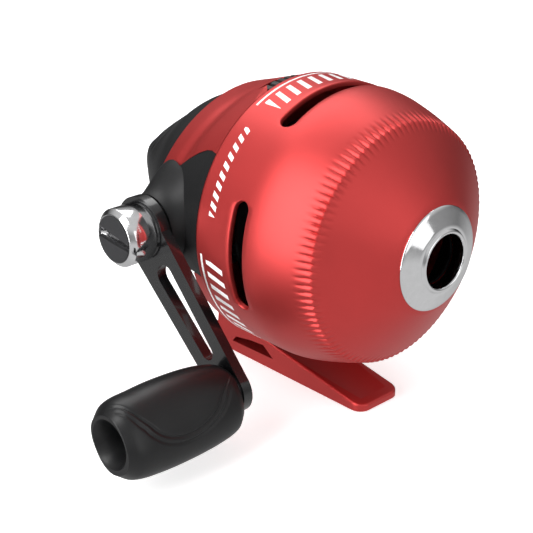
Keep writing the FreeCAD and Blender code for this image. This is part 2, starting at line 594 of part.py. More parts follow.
def involute_outline(teeth, pitch_r, thin):
    """Closed gear outline (y, z): involute flanks with a gentle root."""
    alpha = math.radians(PRESSURE_ANGLE)
    module = 2 * pitch_r / teeth
    base_r = pitch_r * math.cos(alpha)
    tip_r, root_r = pitch_r + 0.9 * module, pitch_r - 1.15 * module
    inv = math.tan(alpha) - alpha
    half = math.pi / (2 * teeth) + inv - thin / (2 * pitch_r)
    flank = []
    for i in range(6):
        r = base_r + (tip_r - base_r) * i / 5
        t = math.acos(min(1.0, base_r / r))
        flank.append((r, half - (math.tan(t) - t)))
    points = []
    for k in range(teeth):
        c = 2 * math.pi * k / teeth
        points.append((root_r, c - half))
        points += [(r, c - a) for r, a in flank]
        points += [(r, c + a) for r, a in reversed(flank)]
        points.append((root_r, c + half))
    return [(r * math.cos(a), r * math.sin(a)) for r, a in points]


def pinion():
    x0, x1 = PINION_REAR, CRANK_X + FACE_OUT + 0.15
    outline = involute_outline(PINION_TEETH, PINION_PITCH_R, 0.0)
    wire = Part.makePolygon([V(x0, y, z) for y, z in outline + outline[:1]])
    teeth = Part.Face(wire).extrude(V(x1 - x0, 0, 0))
    teeth = turned(teeth, (0, 0, 0), (1, 0, 0), PINION_PHASE)
    sleeve = cyl_x(SLEEVE_R, x1 - 0.01, 17.3)
    collar = cyl_x(3.9, x1, 0.0)
    groove = cyl_x(4, 16.45, 17.05).cut(cyl_x(2.1, 10, 20))
    bore = cyl_x(CENTRE_SHAFT_R + RUN, -10, 20).cut(box(x0 - 1, 17.6, SHAFT_FLAT + RUN, 3, -3, 3))
    add("pinion", teeth.fuse([sleeve, collar]).cut(bore).cut(groove))
    clip = cyl_x(4.2, 16.5, 17.0).cut(cyl_x(2.1, 10, 20))
    add("pinion_clip", clip.cut(box(0, 30, -1.2, 1.2, -6, 0)))
    add("pinion_bushing", cyl_x(BUSHING_R, 0.05, 16.4).cut(cyl_x(SLEEVE_R + RUN, -5, 20)))


PINION_PHASE = 0.0


def face_tooth_section(radius):
    """Rack-shaped section of a face-gear tooth at a distance from the crank axis."""
    ratio = GEAR_TEETH / PINION_TEETH
    base_r = PINION_PITCH_R * math.cos(math.radians(PRESSURE_ANGLE))
    roll_r = radius / ratio
    alpha = math.acos(min(1.0, base_r / roll_r))
    a0 = math.radians(PRESSURE_ANGLE)
    pinion_half = math.pi / (2 * PINION_TEETH) + (math.tan(a0) - a0) - (math.tan(alpha) - alpha)
    tooth = 2 * math.pi * radius / GEAR_TEETH - 2 * roll_r * pinion_half - BACKLASH
    foot_y, tip_y = -4.0, -2.66
    x = CRANK_X + radius

    def half(y):
        return tooth / 2 - (y + roll_r) * math.tan(alpha)
    corners = [V(x, foot_y, -half(foot_y)), V(x, tip_y, -half(tip_y)),
               V(x, tip_y, half(tip_y)), V(x, foot_y, half(foot_y))]
    return Part.makePolygon(corners + corners[:1])


def drive_gear():
    radii = [FACE_IN + (FACE_OUT - FACE_IN) * i / 4 for i in range(5)]
    tooth = Part.makeLoft([face_tooth_section(r) for r in radii], True, True)
    teeth = [turned(tooth, (CRANK_X, 0, 0), (0, 1, 0), (k + GEAR_PHASE) * 360 / GEAR_TEETH)
             for k in range(GEAR_TEETH)]
    face_y = -3.82
    blank = cyl_y(FACE_OUT + 0.1, GEAR_BACK, face_y, CRANK_X)
    blank = blank.cut(cyl_y(FACE_IN - 1.2, GEAR_BACK + 1.3, 0, CRANK_X))
    hub = cyl_y(5.0, GEAR_BACK - 1.9, face_y - 0.4, CRANK_X)
    gear = blank.fuse(teeth + [hub])
    for k in range(6):
        hole = cyl_y(1.7, -20, 0, CRANK_X, 7.6)
        gear = gear.cut(turned(hole, (CRANK_X, 0, 0), (0, 1, 0), 60 * k))
    gear = gear.cut(shaft_section(-20, 0))
    add("drive_gear", gear)


GEAR_PHASE = 0.5


def shaft_section(y0, y1, grow=0.0):
    """Double-flatted part of the drive shaft."""
    return cyl_y(SHAFT_R + grow, y0, y1, CRANK_X).common(
        box(CRANK_X - 1.9 - grow, CRANK_X + 1.9 + grow, y0 - 1, y1 + 1, -9, 9))


def drive_shaft():
    back = -CASE_HALF_Y + 0.7
    shaft = shaft_section(back, -4.3).fuse(cyl_y(SHAFT_R, ARM_FRONT + ARM_T, back, CRANK_X))
    arm_seat = shaft_section(ARM_FRONT, ARM_FRONT + ARM_T)
    thread = cyl_y(THREAD_R, -44.0, ARM_FRONT, CRANK_X)
    add("drive_shaft", shaft.fuse([arm_seat, thread]))
    bush = cyl_y(CRANK_BUSH_R, BOSS_END, -CASE_HALF_Y - 0.1, CRANK_X).fuse(
        cyl_y(5.6, BOSS_END - 0.4, BOSS_END, CRANK_X))
    add("crank_bushing", bush.cut(cyl_y(SHAFT_R + RUN, -40, 0, CRANK_X)))
    add("crank_washer", cyl_y(6.4, ARM_FRONT + ARM_T, ARM_FRONT + ARM_T + 0.3, CRANK_X).cut(
        cyl_y(SHAFT_R, -60, 0, CRANK_X)))


def anti_reverse():
    y0, y1 = -10.4, -8.5
    points = []
    for k in range(RATCHET_TEETH):
        a = 2 * math.pi * k / RATCHET_TEETH
        points += [(RATCHET_R, a), (RATCHET_R - 2.0, a + 0.04)]
    outline = [(CRANK_X + r * math.cos(a), r * math.sin(a)) for r, a in points]
    wheel = prism_y(outline, y0, y1).cut(shaft_section(-20, 0))
    add("ratchet_wheel", turned(wheel, (CRANK_X, 0, 0), (0, 1, 0), RATCHET_PHASE))
    px, pz = PAWL_AT
    lever = [(px + 1.9, pz + 0.9), (px - 1.0, pz + 2.1), (px - 5.4, pz + 2.5), (px - 6.9, pz + 1.2),
             (px - 5.9, pz + 0.5), (px - 1.5, pz - 1.7), (px + 1.5, pz - 1.3)]
    pawl = prism_y(lever, y0, y1).cut(cyl_y(1.0 + RUN, -20, 0, px, pz))
    add("anti_reverse_pawl", pawl)
    pin = cyl_y(1.0, -15, -8.1, px, pz).fuse(cyl_y(1.7, -8.3, -7.8, px, pz))
    add("pawl_pin", pin)


RATCHET_PHASE = 0.0


# ---------------------------------------------------------------- crank
def crank():
    """Arm, nut and knob, drawn with the arm along +X and turned to its place."""
    throw = CRANK_THROW
    x0 = CRANK_X

    def bar(r0, r1, start, end, y0, y1):
        """Tapered bar with round ends."""
        body = cyl_y(r0, y0, y1, x0 + start).fuse(cyl_y(r1, y0, y1, x0 + end))
        lean = math.asin((r0 - r1) / (end - start))
        c, s = math.cos(lean), math.sin(lean)
        sides = [(x0 + start + r0 * s, r0 * c), (x0 + end + r1 * s, r1 * c),
                 (x0 + end + r1 * s, -r1 * c), (x0 + start + r0 * s, -r0 * c)]
        return body.fuse(prism_y(sides, y0, y1))
    back = ARM_FRONT + ARM_T
    arm = bar(ARM_NECK_R, ARM_END_R, 0, throw, ARM_FRONT, back).fuse(
        cyl_y(ARM_HUB_R, ARM_FRONT, back, x0))
    wide = ARM_NECK_R + (ARM_END_R - ARM_NECK_R) * ARM_SLOT_START / throw - ARM_RAIL
    narrow = ARM_NECK_R + (ARM_END_R - ARM_NECK_R) * ARM_SLOT_END / throw - ARM_RAIL
    arm = arm.cut(bar(wide, narrow, ARM_SLOT_START, ARM_SLOT_END, ARM_FRONT - 1, back + 1))
    arm = arm.cut(cyl_y(1.5, -60, 0, x0 + throw))
    pieces_here = {"crank_arm": arm}
    knob_x = x0 + throw

    rivet = cyl_y(1.5, ARM_FRONT + ARM_T + 0.5, KNOB_OUTER + 8.6, knob_x).fuse(
        [cyl_y(3.2, back, back + 0.7, knob_x), cyl_y(3.2, KNOB_OUTER + 8.0, KNOB_OUTER + 9.2, knob_x),
         cyl_y(2.0, KNOB_OUTER + 9.2, ARM_FRONT, knob_x)])
    pieces_here["knob_rivet"] = rivet
    pieces_here["knob_washer"] = cyl_y(4.6, ARM_FRONT - 0.45, ARM_FRONT, knob_x).cut(
        cyl_y(2.0, -60, 0, knob_x))
    for name, shape in pieces_here.items():
        add(name, turned(shape, (CRANK_X, 0, 0), (0, 1, 0), -CRANK_ANGLE))
    arm_turn = turned(shaft_section(-60, 0), (CRANK_X, 0, 0), (0, 1, 0), 0)
    lifted = arm_turn.copy()
    lifted.translate(V(0, 0, AXIS_HEIGHT))
    pieces["crank_arm"] = pieces["crank_arm"].cut(lifted)


def knob():
    """Paddle grip: ovals across its axis, broad face to the front and top."""
    a = math.radians(CRANK_ANGLE)
    cx, cz = CRANK_X + CRANK_THROW * math.cos(a), CRANK_THROW * math.sin(a)
    broad = (math.cos(math.radians(-58.3)), math.sin(math.radians(-58.3)))
    deep = (-broad[1], broad[0])

    def ring(y, up, down, front, back, power=2.3):
        points = []
        for i in range(20):
            t = 2 * math.pi * i / 20
            c, s = math.cos(t), math.sin(t)
            u = (down if c > 0 else up) * math.copysign(abs(c) ** (2 / power), c)
            v = (front if s > 0 else back) * math.copysign(abs(s) ** (2 / power), s)
            points.append(V(cx + broad[0] * u + deep[0] * v, y, cz + broad[1] * u + deep[1] * v))
        spline = Part.BSplineCurve()
        spline.interpolate(points, PeriodicFlag=True)
        return Part.Wire([spline.toShape()])
    inner, outer = KNOB_INNER, KNOB_OUTER
    grip = Part.makeLoft([ring(inner, 5.8, 7.4, 5.4, 5.2), ring(inner - 2, 7.4, 9.2, 6.2, 6.0),
                          ring(inner - 8, 8.9, 10.2, 6.9, 6.8), ring(inner - 17, 9.6, 10.5, 7.2, 7.3),
                          ring(inner - 25, 9.5, 10.2, 7.5, 7.5), ring(outer + 3, 9.0, 9.3, 7.6, 7.4),
                          ring(outer, 6.8, 7.2, 6.3, 6.2)], True)
    recess = revolve_y([(outer - 1, 0), (outer - 1, 6.0), (outer + 3.0, KNOB_HOLE_R), (outer + 7.9, KNOB_HOLE_R),
                        (outer + 7.9, 0)], cx, cz)
    bore = cyl_y(2.0 + RUN, -90, 0, cx, cz).fuse(cyl_y(3.2 + 0.3, outer, outer + 9.25, cx, cz))
    add("knob", grip.cut(recess).cut(bore))


def crank_nut():
    base = ARM_FRONT
    nut = revolve_y([(base, THREAD_R), (base, NUT_R - 0.4), (base - 0.6, NUT_R - 0.4), (base - 0.6, NUT_R),
                     (NUT_END + 1.5, NUT_R + 0.2), (NUT_END + 0.2, NUT_INSERT_R + 0.1),
                     (NUT_END + 0.2, NUT_INSERT_R), (NUT_END + 1.4, NUT_INSERT_R), (NUT_END + 1.4, 0),
                     (-44.3, 0), (-44.3, THREAD_R)], CRANK_X)
    reach = NUT_INSERT_R - 0.9
    slot = turned(box(CRANK_X - reach, CRANK_X + reach, NUT_END - 1, NUT_END + 1.0, -0.95, 0.95),
                  (CRANK_X, 0, 0), (0, 1, 0), NUT_SLOT_ANGLE)
    add("crank_nut", nut)
    insert = cyl_y(NUT_INSERT_R, NUT_END, NUT_END + 1.4, CRANK_X).cut(slot)
    add("nut_insert", insert)


NUT_SLOT_ANGLE = 0.0

front_cover()
nose_ring()
brake_ring()
body_frame()
top_shell()
side_plates()
deck_screws()
cover_o_ring()
thumb_button()
drag_dial()
spool()
spinner()
centre_shaft()
pinion()
drive_gear()
drive_shaft()
anti_reverse()
crank()
knob()
crank_nut()

os.makedirs("parts", exist_ok=True)
for name, shape in pieces.items():
    shape.exportStep("parts/" + name + ".step")
    print(f"{name:22s} solids {len(shape.Solids)} valid {shape.isValid()} volume {shape.Volume:9.1f}")
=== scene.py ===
"""Spincast reel: finished pieces, materials and stage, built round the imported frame."""

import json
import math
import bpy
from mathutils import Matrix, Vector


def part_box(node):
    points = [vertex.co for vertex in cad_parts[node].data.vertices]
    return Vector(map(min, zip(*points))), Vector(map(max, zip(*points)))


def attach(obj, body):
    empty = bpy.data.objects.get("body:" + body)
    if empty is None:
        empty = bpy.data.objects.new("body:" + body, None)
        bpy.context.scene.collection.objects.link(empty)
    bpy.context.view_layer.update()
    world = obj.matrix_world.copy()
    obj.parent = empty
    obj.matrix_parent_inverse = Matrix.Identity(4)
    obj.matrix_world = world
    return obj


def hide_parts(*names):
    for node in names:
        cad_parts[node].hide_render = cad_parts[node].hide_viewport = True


bl_info = {
    "name": "Spincast Reel",
    "version": (1, 0, 0),
    "blender": (4, 5, 0),
    "location": "View3D > Sidebar > Reel",
    "description": "Builds the visible pieces of a spincast fishing reel",
    "category": "Add Mesh",
}

import bmesh
import bpy
from mathutils import Vector

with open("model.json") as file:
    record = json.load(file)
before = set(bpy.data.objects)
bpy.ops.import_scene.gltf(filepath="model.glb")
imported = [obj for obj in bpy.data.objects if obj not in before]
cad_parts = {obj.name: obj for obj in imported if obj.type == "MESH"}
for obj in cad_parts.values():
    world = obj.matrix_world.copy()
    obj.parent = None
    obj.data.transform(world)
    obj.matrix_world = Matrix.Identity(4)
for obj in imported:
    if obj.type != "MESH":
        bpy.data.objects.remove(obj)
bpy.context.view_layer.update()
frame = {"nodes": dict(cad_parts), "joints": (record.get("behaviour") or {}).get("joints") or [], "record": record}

# ------------------------------------------------------------ places read from the frame, in mm
MM = 1000.0
MOUNTS = {m["name"]: m for m in frame["record"]["mounts"]}
AXIS = MOUNTS["line_exit"]["pos_m"][2] * MM
EYE_R = MOUNTS["line_exit"]["dims"]["r_mm"]
JOINTS = {j["name"]: Vector(j.get("pos_m", (0, 0, 0))) * MM for j in frame["joints"]}
CRANK_X = JOINTS["crank_spin"].x
KNOB_X, KNOB_Z = JOINTS["knob_spin"].x, JOINTS["knob_spin"].z - AXIS
DIAL_Z = JOINTS["drag_dial_turn"].z - AXIS


def extent(node):
    """Lowest and highest corner of a CAD node in millimetres, with z from the spool axis."""
    low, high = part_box(node)
    return low * MM - Vector((0, 0, AXIS)), high * MM - Vector((0, 0, AXIS))


COVER_HIGH = extent("front_cover")[1]
NOSE_LOW, NOSE_HIGH = extent("nose_ring")
ARM_LOW, ARM_HIGH = extent("crank_arm")
NUT_LOW, NUT_HIGH = extent("crank_nut")
INSERT_LOW, INSERT_HIGH = extent("nut_insert")
KNOB_LOW, KNOB_HIGH = extent("knob")
BUTTON_LOW = extent("thumb_button")[0]
DIAL_LOW, DIAL_HIGH = extent("drag_dial")

# front cover
COVER_R = COVER_HIGH.y
COVER_FRONT = COVER_HIGH.x
WALL = 1.2
SHOULDER_X = 18.6
KNURL_X = 33.6
KNURL_R = 29.4
NOSE_R = NOSE_HIGH.y
SLOT_X = 13.7
SLOT_WIDTH = 4.5
SLOTS = ((0, 23.4), (180, 23.4), (90, 33.5))      # (direction, half angle), degrees from -Y

# rear body
SKIN = ((0.3, 33.75, 0.0), (0.0, 33.7, 0.0), (-11.0, 31.6, -1.4), (-22.0, 29.4, -2.7), (-27.5, 27.3, -3.5))
SEAM_X, SEAM_Z, SEAM_SLOPE = -22.0, 7.0, 0.19
SIDE_REAR_X = -19.5
SIDE_FLOOR = -9.4
ARCH = ((-0.3, 20.0), (-3.6, 20.0), (-7.6, 18.0), (-12.6, 14.3), (-16.1, 10.6), (-18.7, 6.6), (-19.5, 2.5))
BUTTON = ((-17.0, 26.8, -30.8, 28.8), (-22.0, 25.1, -30.0, 27.8), (-27.0, 23.2, -23.0, 25.0),
          (-33.0, 19.9, -15.0, 20.9), (-39.0, 16.1, -8.0, 16.8), (-44.0, 12.6, -3.2, 12.9),
          (-47.6, 9.6, 0.6, 8.6), (-49.2, 7.9, 2.7, 5.2))
BUTTON_WALL = 1.4
BUTTON_FLOOR = -8.0

# drag dial
DIAL_HALF = math.radians(48)
DIAL_TEETH = 15
DIAL_HUB_R = 3.4
DIAL_WEB_BACK = DIAL_LOW.x + 1.7
DIAL_RELIEF_R = 21.2
SCOOP = ((0.2, 14.2, 30.0), (16.7, 21.0, 36.0))        # (half length, half width, height) of its two ovals

# crank
ARM_FRONT, ARM_BACK = ARM_LOW.y, ARM_HIGH.y
ARM_ANGLE = math.radians(-45)
ARM_HUB_R, ARM_NECK_R, ARM_END_R = 8.4, 7.4, 5.6
ARM_SLOT = (2.88, 2.03, 12.8, 33.5)                     # (radius, radius, start, end)
ARM_THROW = math.hypot(KNOB_X - CRANK_X, KNOB_Z)
KNOB_TILT = math.radians(-58.3)
PANEL = ((-0.1, 190.0), (0.02, 172.0), (0.07, 146.0), (0.15, 108.0), (0.26, 82.0), (0.38, 70.0), (0.5, 67.0),
         (0.64, 71.0), (0.78, 84.0), (0.9, 104.0), (1.0, 128.0), (1.1, 160.0))


# stage
FLOOR_HALF = 9000
BACKDROP_R = 2500
BACKDROP_SIDES = 64


# ------------------------------------------------------------ mesh helpers
def lifted(point):
    """Millimetres about the spool axis to metres above the foot."""
    return Vector((point[0], point[1], point[2] + AXIS)) / MM


def build(name, points, faces):
    mesh = bpy.data.meshes.new(name)
    mesh.from_pydata([lifted(p) for p in points], [], faces)
    piece = bpy.data.objects.new(name, mesh)
    bpy.context.scene.collection.objects.link(piece)
    work = bmesh.new()
    work.from_mesh(mesh)
    bmesh.ops.remove_doubles(work, verts=work.verts, dist=1e-7)
    bmesh.ops.recalc_face_normals(work, faces=work.faces)
    work.to_mesh(mesh)
    work.free()
    return piece


def loft(name, rings, wrap=False, strips=False):
    """Skins equal rings; the ends are capped, or joined to each other when wrap is set.

    With strips, a cap is laid in strips between mirrored points, for rings that start on their line of symmetry.
    """
    count = len(rings[0])
    points = [p for ring in rings for p in ring]
    faces = []
    for i in range(len(rings) - (0 if wrap else 1)):
        a, b = i * count, (i + 1) % len(rings) * count
        faces += [(a + j, a + (j + 1) % count, b + (j + 1) % count, b + j) for j in range(count)]
    for start in () if wrap else (0, len(points) - count):
        if strips:
            pairs = [(k, k + 1, count - k - 1, (count - k) % count) for k in range(count // 2)]
            faces += [tuple(dict.fromkeys(start + k for k in pair)) for pair in pairs]
        else:
            faces.append(tuple(range(start, start + count)))
    return build(name, points, faces)


def prism_y(name, outline, low, high):
    return loft(name, [[(x, y, z) for x, z in outline] for y in (low, high)])


def prism_x(name, outline, low, high):
    return loft(name, [[(x, y, z) for y, z in outline] for x in (low, high)])


def block(name, low, high):
    return prism_y(name, [(low[0], low[2]), (high[0], low[2]), (high[0], high[2]), (low[0], high[2])],
                   low[1], high[1])


def turn_x(name, outline, steps=192):
    """Closed outline of (x, radius) spun about the spool axis."""
    return loft(name, [[(x, -r * math.cos(a), r * math.sin(a)) for x, r in outline]
                       for a in (math.tau * i / steps for i in range(steps))], wrap=True)


def turn_y(name, outline, cx, cz, steps=128):
    """Closed outline of (y, radius) spun about a line along Y."""
    return loft(name, [[(cx + r * math.cos(a), y, cz + r * math.sin(a)) for y, r in outline]
                       for a in (math.tau * i / steps for i in range(steps))], wrap=True)


def circle(r, cx=0.0, cz=0.0, steps=96):
    return [(cx + r * math.cos(math.tau * i / steps), cz + r * math.sin(math.tau * i / steps))
            for i in range(steps)]


def settle(piece):
    """Applies every modifier to the piece's mesh."""
    graph = bpy.context.evaluated_depsgraph_get()
    old, piece.data = piece.data, bpy.data.meshes.new_from_object(piece.evaluated_get(graph))
    piece.modifiers.clear()
    bpy.data.meshes.remove(old)
    return piece


def combine(piece, operation, *others):
    for other in others:
        change = piece.modifiers.new("combine", "BOOLEAN")
        change.operation = operation
        change.solver = "EXACT"
        change.object = other
        settle(piece)
        bpy.data.objects.remove(other)
        if len(piece.data.polygons) < 60:
            raise RuntimeError(piece.name + " was lost while its shapes were combined")
    return piece


def soften(piece, width, segments=2, angle=32.0):
    """Rounds the edges by width millimetres and smooths the shading between them."""
    if width:
        round_off = piece.modifiers.new("edges", "BEVEL")
        round_off.width = width / MM
        round_off.segments = segments
        round_off.limit_method = "ANGLE"
        round_off.angle_limit = math.radians(angle)
        round_off.use_clamp_overlap = True
        settle(piece)
    piece.data.shade_smooth()
    piece.data.set_sharp_from_angle(angle=math.radians(48))
    if width:
        weighted = piece.modifiers.new("shading", "WEIGHTED_NORMAL")
        weighted.keep_sharp = True
        settle(piece)
    return piece


def curve_through(table, x):
    """Smooth value at x of a table whose rows start with x, in either order."""
    rows = sorted(table)
    i = max(0, min(len(rows) - 2, sum(row[0] <= x for row in rows) - 1))
    before, a, b, after = rows[max(i - 1, 0)], rows[i], rows[i + 1], rows[min(i + 2, len(rows) - 1)]
    span = b[0] - a[0]
    t = (x - a[0]) / span
    out = []
    for k in range(1, len(a)):
        rise_a = (b[k] - before[k]) / (b[0] - before[0]) * span
        rise_b = (after[k] - a[k]) / (after[0] - a[0]) * span
        out.append((2 * t ** 3 - 3 * t * t + 1) * a[k] + (t ** 3 - 2 * t * t + t) * rise_a
                   + (3 * t * t - 2 * t ** 3) * b[k] + (t ** 3 - t * t) * rise_b)
    return out


def ramp(value, low, high):
    """0 below low, 1 above high, smooth between."""
    t = max(0.0, min(1.0, (value - low) / (high - low)))
    return t * t * (3 - 2 * t)


def steps_between(start, end, count):
    return [start + (end - start) * i / (count - 1) for i in range(count)]


def finish_piece(piece, material, body, slot, *nodes):
    """Gives a piece its material and its body, and hides the CAD nodes that it stands for; slot is not used."""
    piece.data.materials.clear()
    piece.data.materials.append(material)
    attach(piece, body)
    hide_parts(*nodes)


# ------------------------------------------------------------ shader writing
class Wire:
    """A shader socket that can be used in Python sums."""

    def __init__(self, recipe, socket):
        self.recipe, self.socket = recipe, socket

    def __add__(self, other):
        return self.recipe.maths("ADD", self, other)

    def __radd__(self, other):
        return self.recipe.maths("ADD", other, self)

    def __sub__(self, other):
        return self.recipe.maths("SUBTRACT", self, other)

    def __rsub__(self, other):
        return self.recipe.maths("SUBTRACT", other, self)

    def __mul__(self, other):
        return self.recipe.maths("MULTIPLY", self, other)

    def __rmul__(self, other):
        return self.recipe.maths("MULTIPLY", other, self)

    def __truediv__(self, other):
        return self.recipe.maths("DIVIDE", self, other)

    def __gt__(self, other):
        return self.recipe.maths("GREATER_THAN", self, other)

    def __lt__(self, other):
        return self.recipe.maths("LESS_THAN", self, other)


class Recipe:
    """A node tree that ends in one Principled shader, or in a Background for the sky."""

    def __init__(self, owner, final="ShaderNodeBsdfPrincipled", output="ShaderNodeOutputMaterial"):
        self.owner = owner
        owner.use_nodes = True
        self.tree = owner.node_tree
        self.tree.nodes.clear()
        self.shader = self.tree.nodes.new(final)
        end = self.tree.nodes.new(output)
        self.tree.links.new(self.shader.outputs[0], end.inputs["Surface"])

    def node(self, kind, settings=None, inputs=None, output=0):
        """Adds a node: its settings first, then the values or wires of its sockets."""
        made = self.tree.nodes.new(kind)
        for key, value in (settings or {}).items():
            setattr(made, key, value)
        for key, value in (inputs or {}).items():
            self.join(made.inputs[key], value)
        return Wire(self, made.outputs[output])

    def join(self, socket, value):
        if isinstance(value, Wire):
            self.tree.links.new(value.socket, socket)
        else:
            socket.default_value = value

    def maths(self, operation, *values):
        return self.node("ShaderNodeMath", {"operation": operation}, dict(enumerate(values)))

    def place(self):
        """Position on the object in metres, as x, y and z wires."""
        spot = self.node("ShaderNodeTexCoord", output="Object")
        split = self.tree.nodes.new("ShaderNodeSeparateXYZ")
        self.join(split.inputs[0], spot)
        return spot, [Wire(self, split.outputs[i]) for i in range(3)]

    def noise(self, scale, detail=3.0, rough=0.55, vector=None):
        inputs = {"Scale": scale, "Detail": detail, "Roughness": rough}
        inputs["Vector"] = vector or self.node("ShaderNodeTexCoord", output="Object")
        return self.node("ShaderNodeTexNoise", inputs=inputs)

    def blend(self, factor, first, second):
        """Mixes two colours."""
        made = self.tree.nodes.new("ShaderNodeMix")
        made.data_type = "RGBA"
        self.join(made.inputs[0], factor)
        self.join(made.inputs[6], first)
        self.join(made.inputs[7], second)
        return Wire(self, made.outputs[2])

    def grain(self, height, strength, distance=0.0001):
        """Bump from a height wire into the shader's Normal."""
        bump = self.node("ShaderNodeBump", inputs={"Strength": strength, "Distance": distance, "Height": height})
        self.set("Normal", bump)

    def set(self, name, value):
        self.join(self.shader.inputs[name], value)


def rgba(colour):
    return (*colour[:3], 1.0)


def new_material(name):
    return Recipe(bpy.data.materials.new(name))


def scaled(colour, factor):
    return [c * factor for c in colour[:3]]


def red_finish(name, colours, marks=False):
    """Satin red over metal, with white bands of plain bars where marks is set."""
    recipe = new_material(name)
    spot, (x, y, z) = recipe.place()
    cloud = recipe.noise(45.0, 3.0, vector=spot)
    fine = recipe.noise(2600.0, 2.0, vector=spot)
    red = recipe.blend(cloud, rgba(scaled(colours.red, 0.86)), rgba(scaled(colours.red, 1.12)))
    rough = 0.38 + 0.10 * fine + 0.04 * cloud
    metal = 0.82
    if marks:
        mask = white_marks(recipe, x, y, z)
        red = recipe.blend(mask, red, rgba(colours.white))
        rough = rough + 0.1 * mask
        metal = 0.82 - 0.82 * mask
    recipe.set("Base Color", red)
    recipe.set("Roughness", rough)
    recipe.set("Metallic", metal)
    recipe.set("Coat Weight", 0.2)
    recipe.set("Coat Roughness", 0.4)
    recipe.grain(fine, 0.12)
    return recipe.owner


def white_marks(recipe, x, y, z):
    """Mask of plain white bars and pinstripes printed round the rear of the cover."""
    x = x * MM
    around = recipe.maths("ARCTAN2", z * MM - AXIS, 0 - y * MM) * math.degrees(1)

    def patch(x0, x1, a0, a1):
        return (x > x0) * (x < x1) * (around > a0) * (around < a1)
    mask = patch(1.5, 2.1, 62, 112) + patch(1.5, 2.1, -56, -4)
    for low, high, pitch, a0, a1 in ((3.3, 8.8, 6.0, 64, 110), (3.3, 8.8, 6.0, -54, -6)):
        phase = recipe.maths("FRACT", (around + x * 0.5) / pitch + 50.0)
        mask = mask + patch(low, high, a0, a1) * (phase < 0.42)
    dash = recipe.maths("FRACT", (around + x * 0.9) / 4.1 + 50.0)
    mask = mask + patch(3.9, 5.9, 13, 51) * (dash < 0.5)
    return recipe.maths("MINIMUM", mask, 1.0)


def dark_plastic(name, colour, rough=0.42, depth=0.25, scale=1400.0):
    recipe = new_material(name)
    fine = recipe.noise(scale, 3.0)
    broad = recipe.noise(60.0, 2.0)
    recipe.set("Base Color", recipe.blend(broad, rgba(scaled(colour, 0.8)), rgba(scaled(colour, 1.25))))
    recipe.set("Roughness", rough + 0.12 * fine - 0.04 * broad)
    recipe.set("Specular IOR Level", 0.32)
    recipe.grain(fine, depth)
    return recipe.owner


def metal(name, colour, rough=0.2, spread=0.08, stretch=None):
    """Bare metal; stretch drags its fine marks out along an axis."""
    recipe = new_material(name)
    spot = recipe.node("ShaderNodeTexCoord", output="Object")
    if stretch:
        spot = recipe.node("ShaderNodeMapping", inputs={"Vector": spot, "Scale": stretch})
    marks = recipe.noise(700.0, 3.0, vector=spot)
    recipe.set("Base Color", recipe.blend(marks, rgba(scaled(colour, 0.93)), rgba(scaled(colour, 1.04))))
    recipe.set("Roughness", rough + spread * marks)
    recipe.set("Metallic", 1.0)
    recipe.grain(marks, 0.06)
    return recipe.owner


def gloss_black(name, colour):
    recipe = new_material(name)
    fine = recipe.noise(900.0, 2.0)
    recipe.set("Base Color", recipe.blend(fine, rgba(scaled(colour, 0.8)), rgba(scaled(colour, 1.2))))
    recipe.set("Roughness", 0.2 + 0.08 * fine)
    recipe.set("Coat Weight", 0.6)
    recipe.set("Coat Roughness", 0.08)
    recipe.grain(fine, 0.05)
    return recipe.owner


def grip_rubber(name, colour):
    """Soft black rubber with a few pale specks of dust."""
    recipe = new_material(name)
    fine = recipe.noise(1800.0, 4.0)
    broad = recipe.noise(70.0, 2.0)
    dust = recipe.node("ShaderNodeTexVoronoi", {"feature": "F1"}, {"Scale": 260.0})
    speck = (dust < 0.045) * (broad > 0.52)
    tone = recipe.blend(broad, rgba(scaled(colour, 0.85)), rgba(scaled(colour, 1.3)))
    recipe.set("Base Color", recipe.blend(speck * 0.5, tone, rgba((0.25, 0.25, 0.26))))
    recipe.set("Roughness", 0.3 + 0.14 * fine)
    recipe.set("Specular IOR Level", 0.4)
    recipe.grain(fine, 0.18)
    return recipe.owner


def nut_face(name, colour):
    """Dark face with fine turned rings."""
    recipe = new_material(name)
    _, (x, _, z) = recipe.place()
    dx, dz = x * MM - CRANK_X, z * MM - AXIS
    radius = recipe.maths("SQRT", dx * dx + dz * dz)
    rings = recipe.maths("SINE", radius * 22.0)
    fine = recipe.noise(1500.0, 3.0)
    recipe.set("Base Color", recipe.blend(fine, rgba(scaled(colour, 0.8)), rgba(scaled(colour, 1.35))))
    recipe.set("Metallic", 0.4)
    recipe.set("Roughness", 0.5 + 0.1 * fine)
    recipe.grain(rings * 0.3 + fine, 0.25)
    return recipe.owner


# ------------------------------------------------------------ settings
def colour_property(name, description, default):
    return bpy.props.FloatVectorProperty(name=name, description=description, subtype="COLOR",
                                         size=3, min=0.0, max=1.0, default=default)


def length_property(name, description, default):
    return bpy.props.FloatProperty(name=name, description=description, default=default,
                                   min=0.0, unit="LENGTH", precision=5)


class ReelColours(bpy.types.PropertyGroup):
    red: colour_property("Red", "Colour of the cover, the shell and the foot", (0.56, 0.047, 0.045))
    white: colour_property("Print", "Colour of the printed bars", (0.86, 0.86, 0.86))
    black: colour_property("Black plastic", "Side plates and thumb button", (0.009, 0.009, 0.0095))
    arm: colour_property("Arm", "Gloss black of the crank arm", (0.0035, 0.0035, 0.004))
    rubber: colour_property("Grip", "Rubber of the knob", (0.006, 0.006, 0.0065))
    bright: colour_property("Bright metal", "Nose ring and crank nut", (0.83, 0.83, 0.84))
    steel: colour_property("Steel", "Shafts, pins and screws", (0.56, 0.57, 0.59))


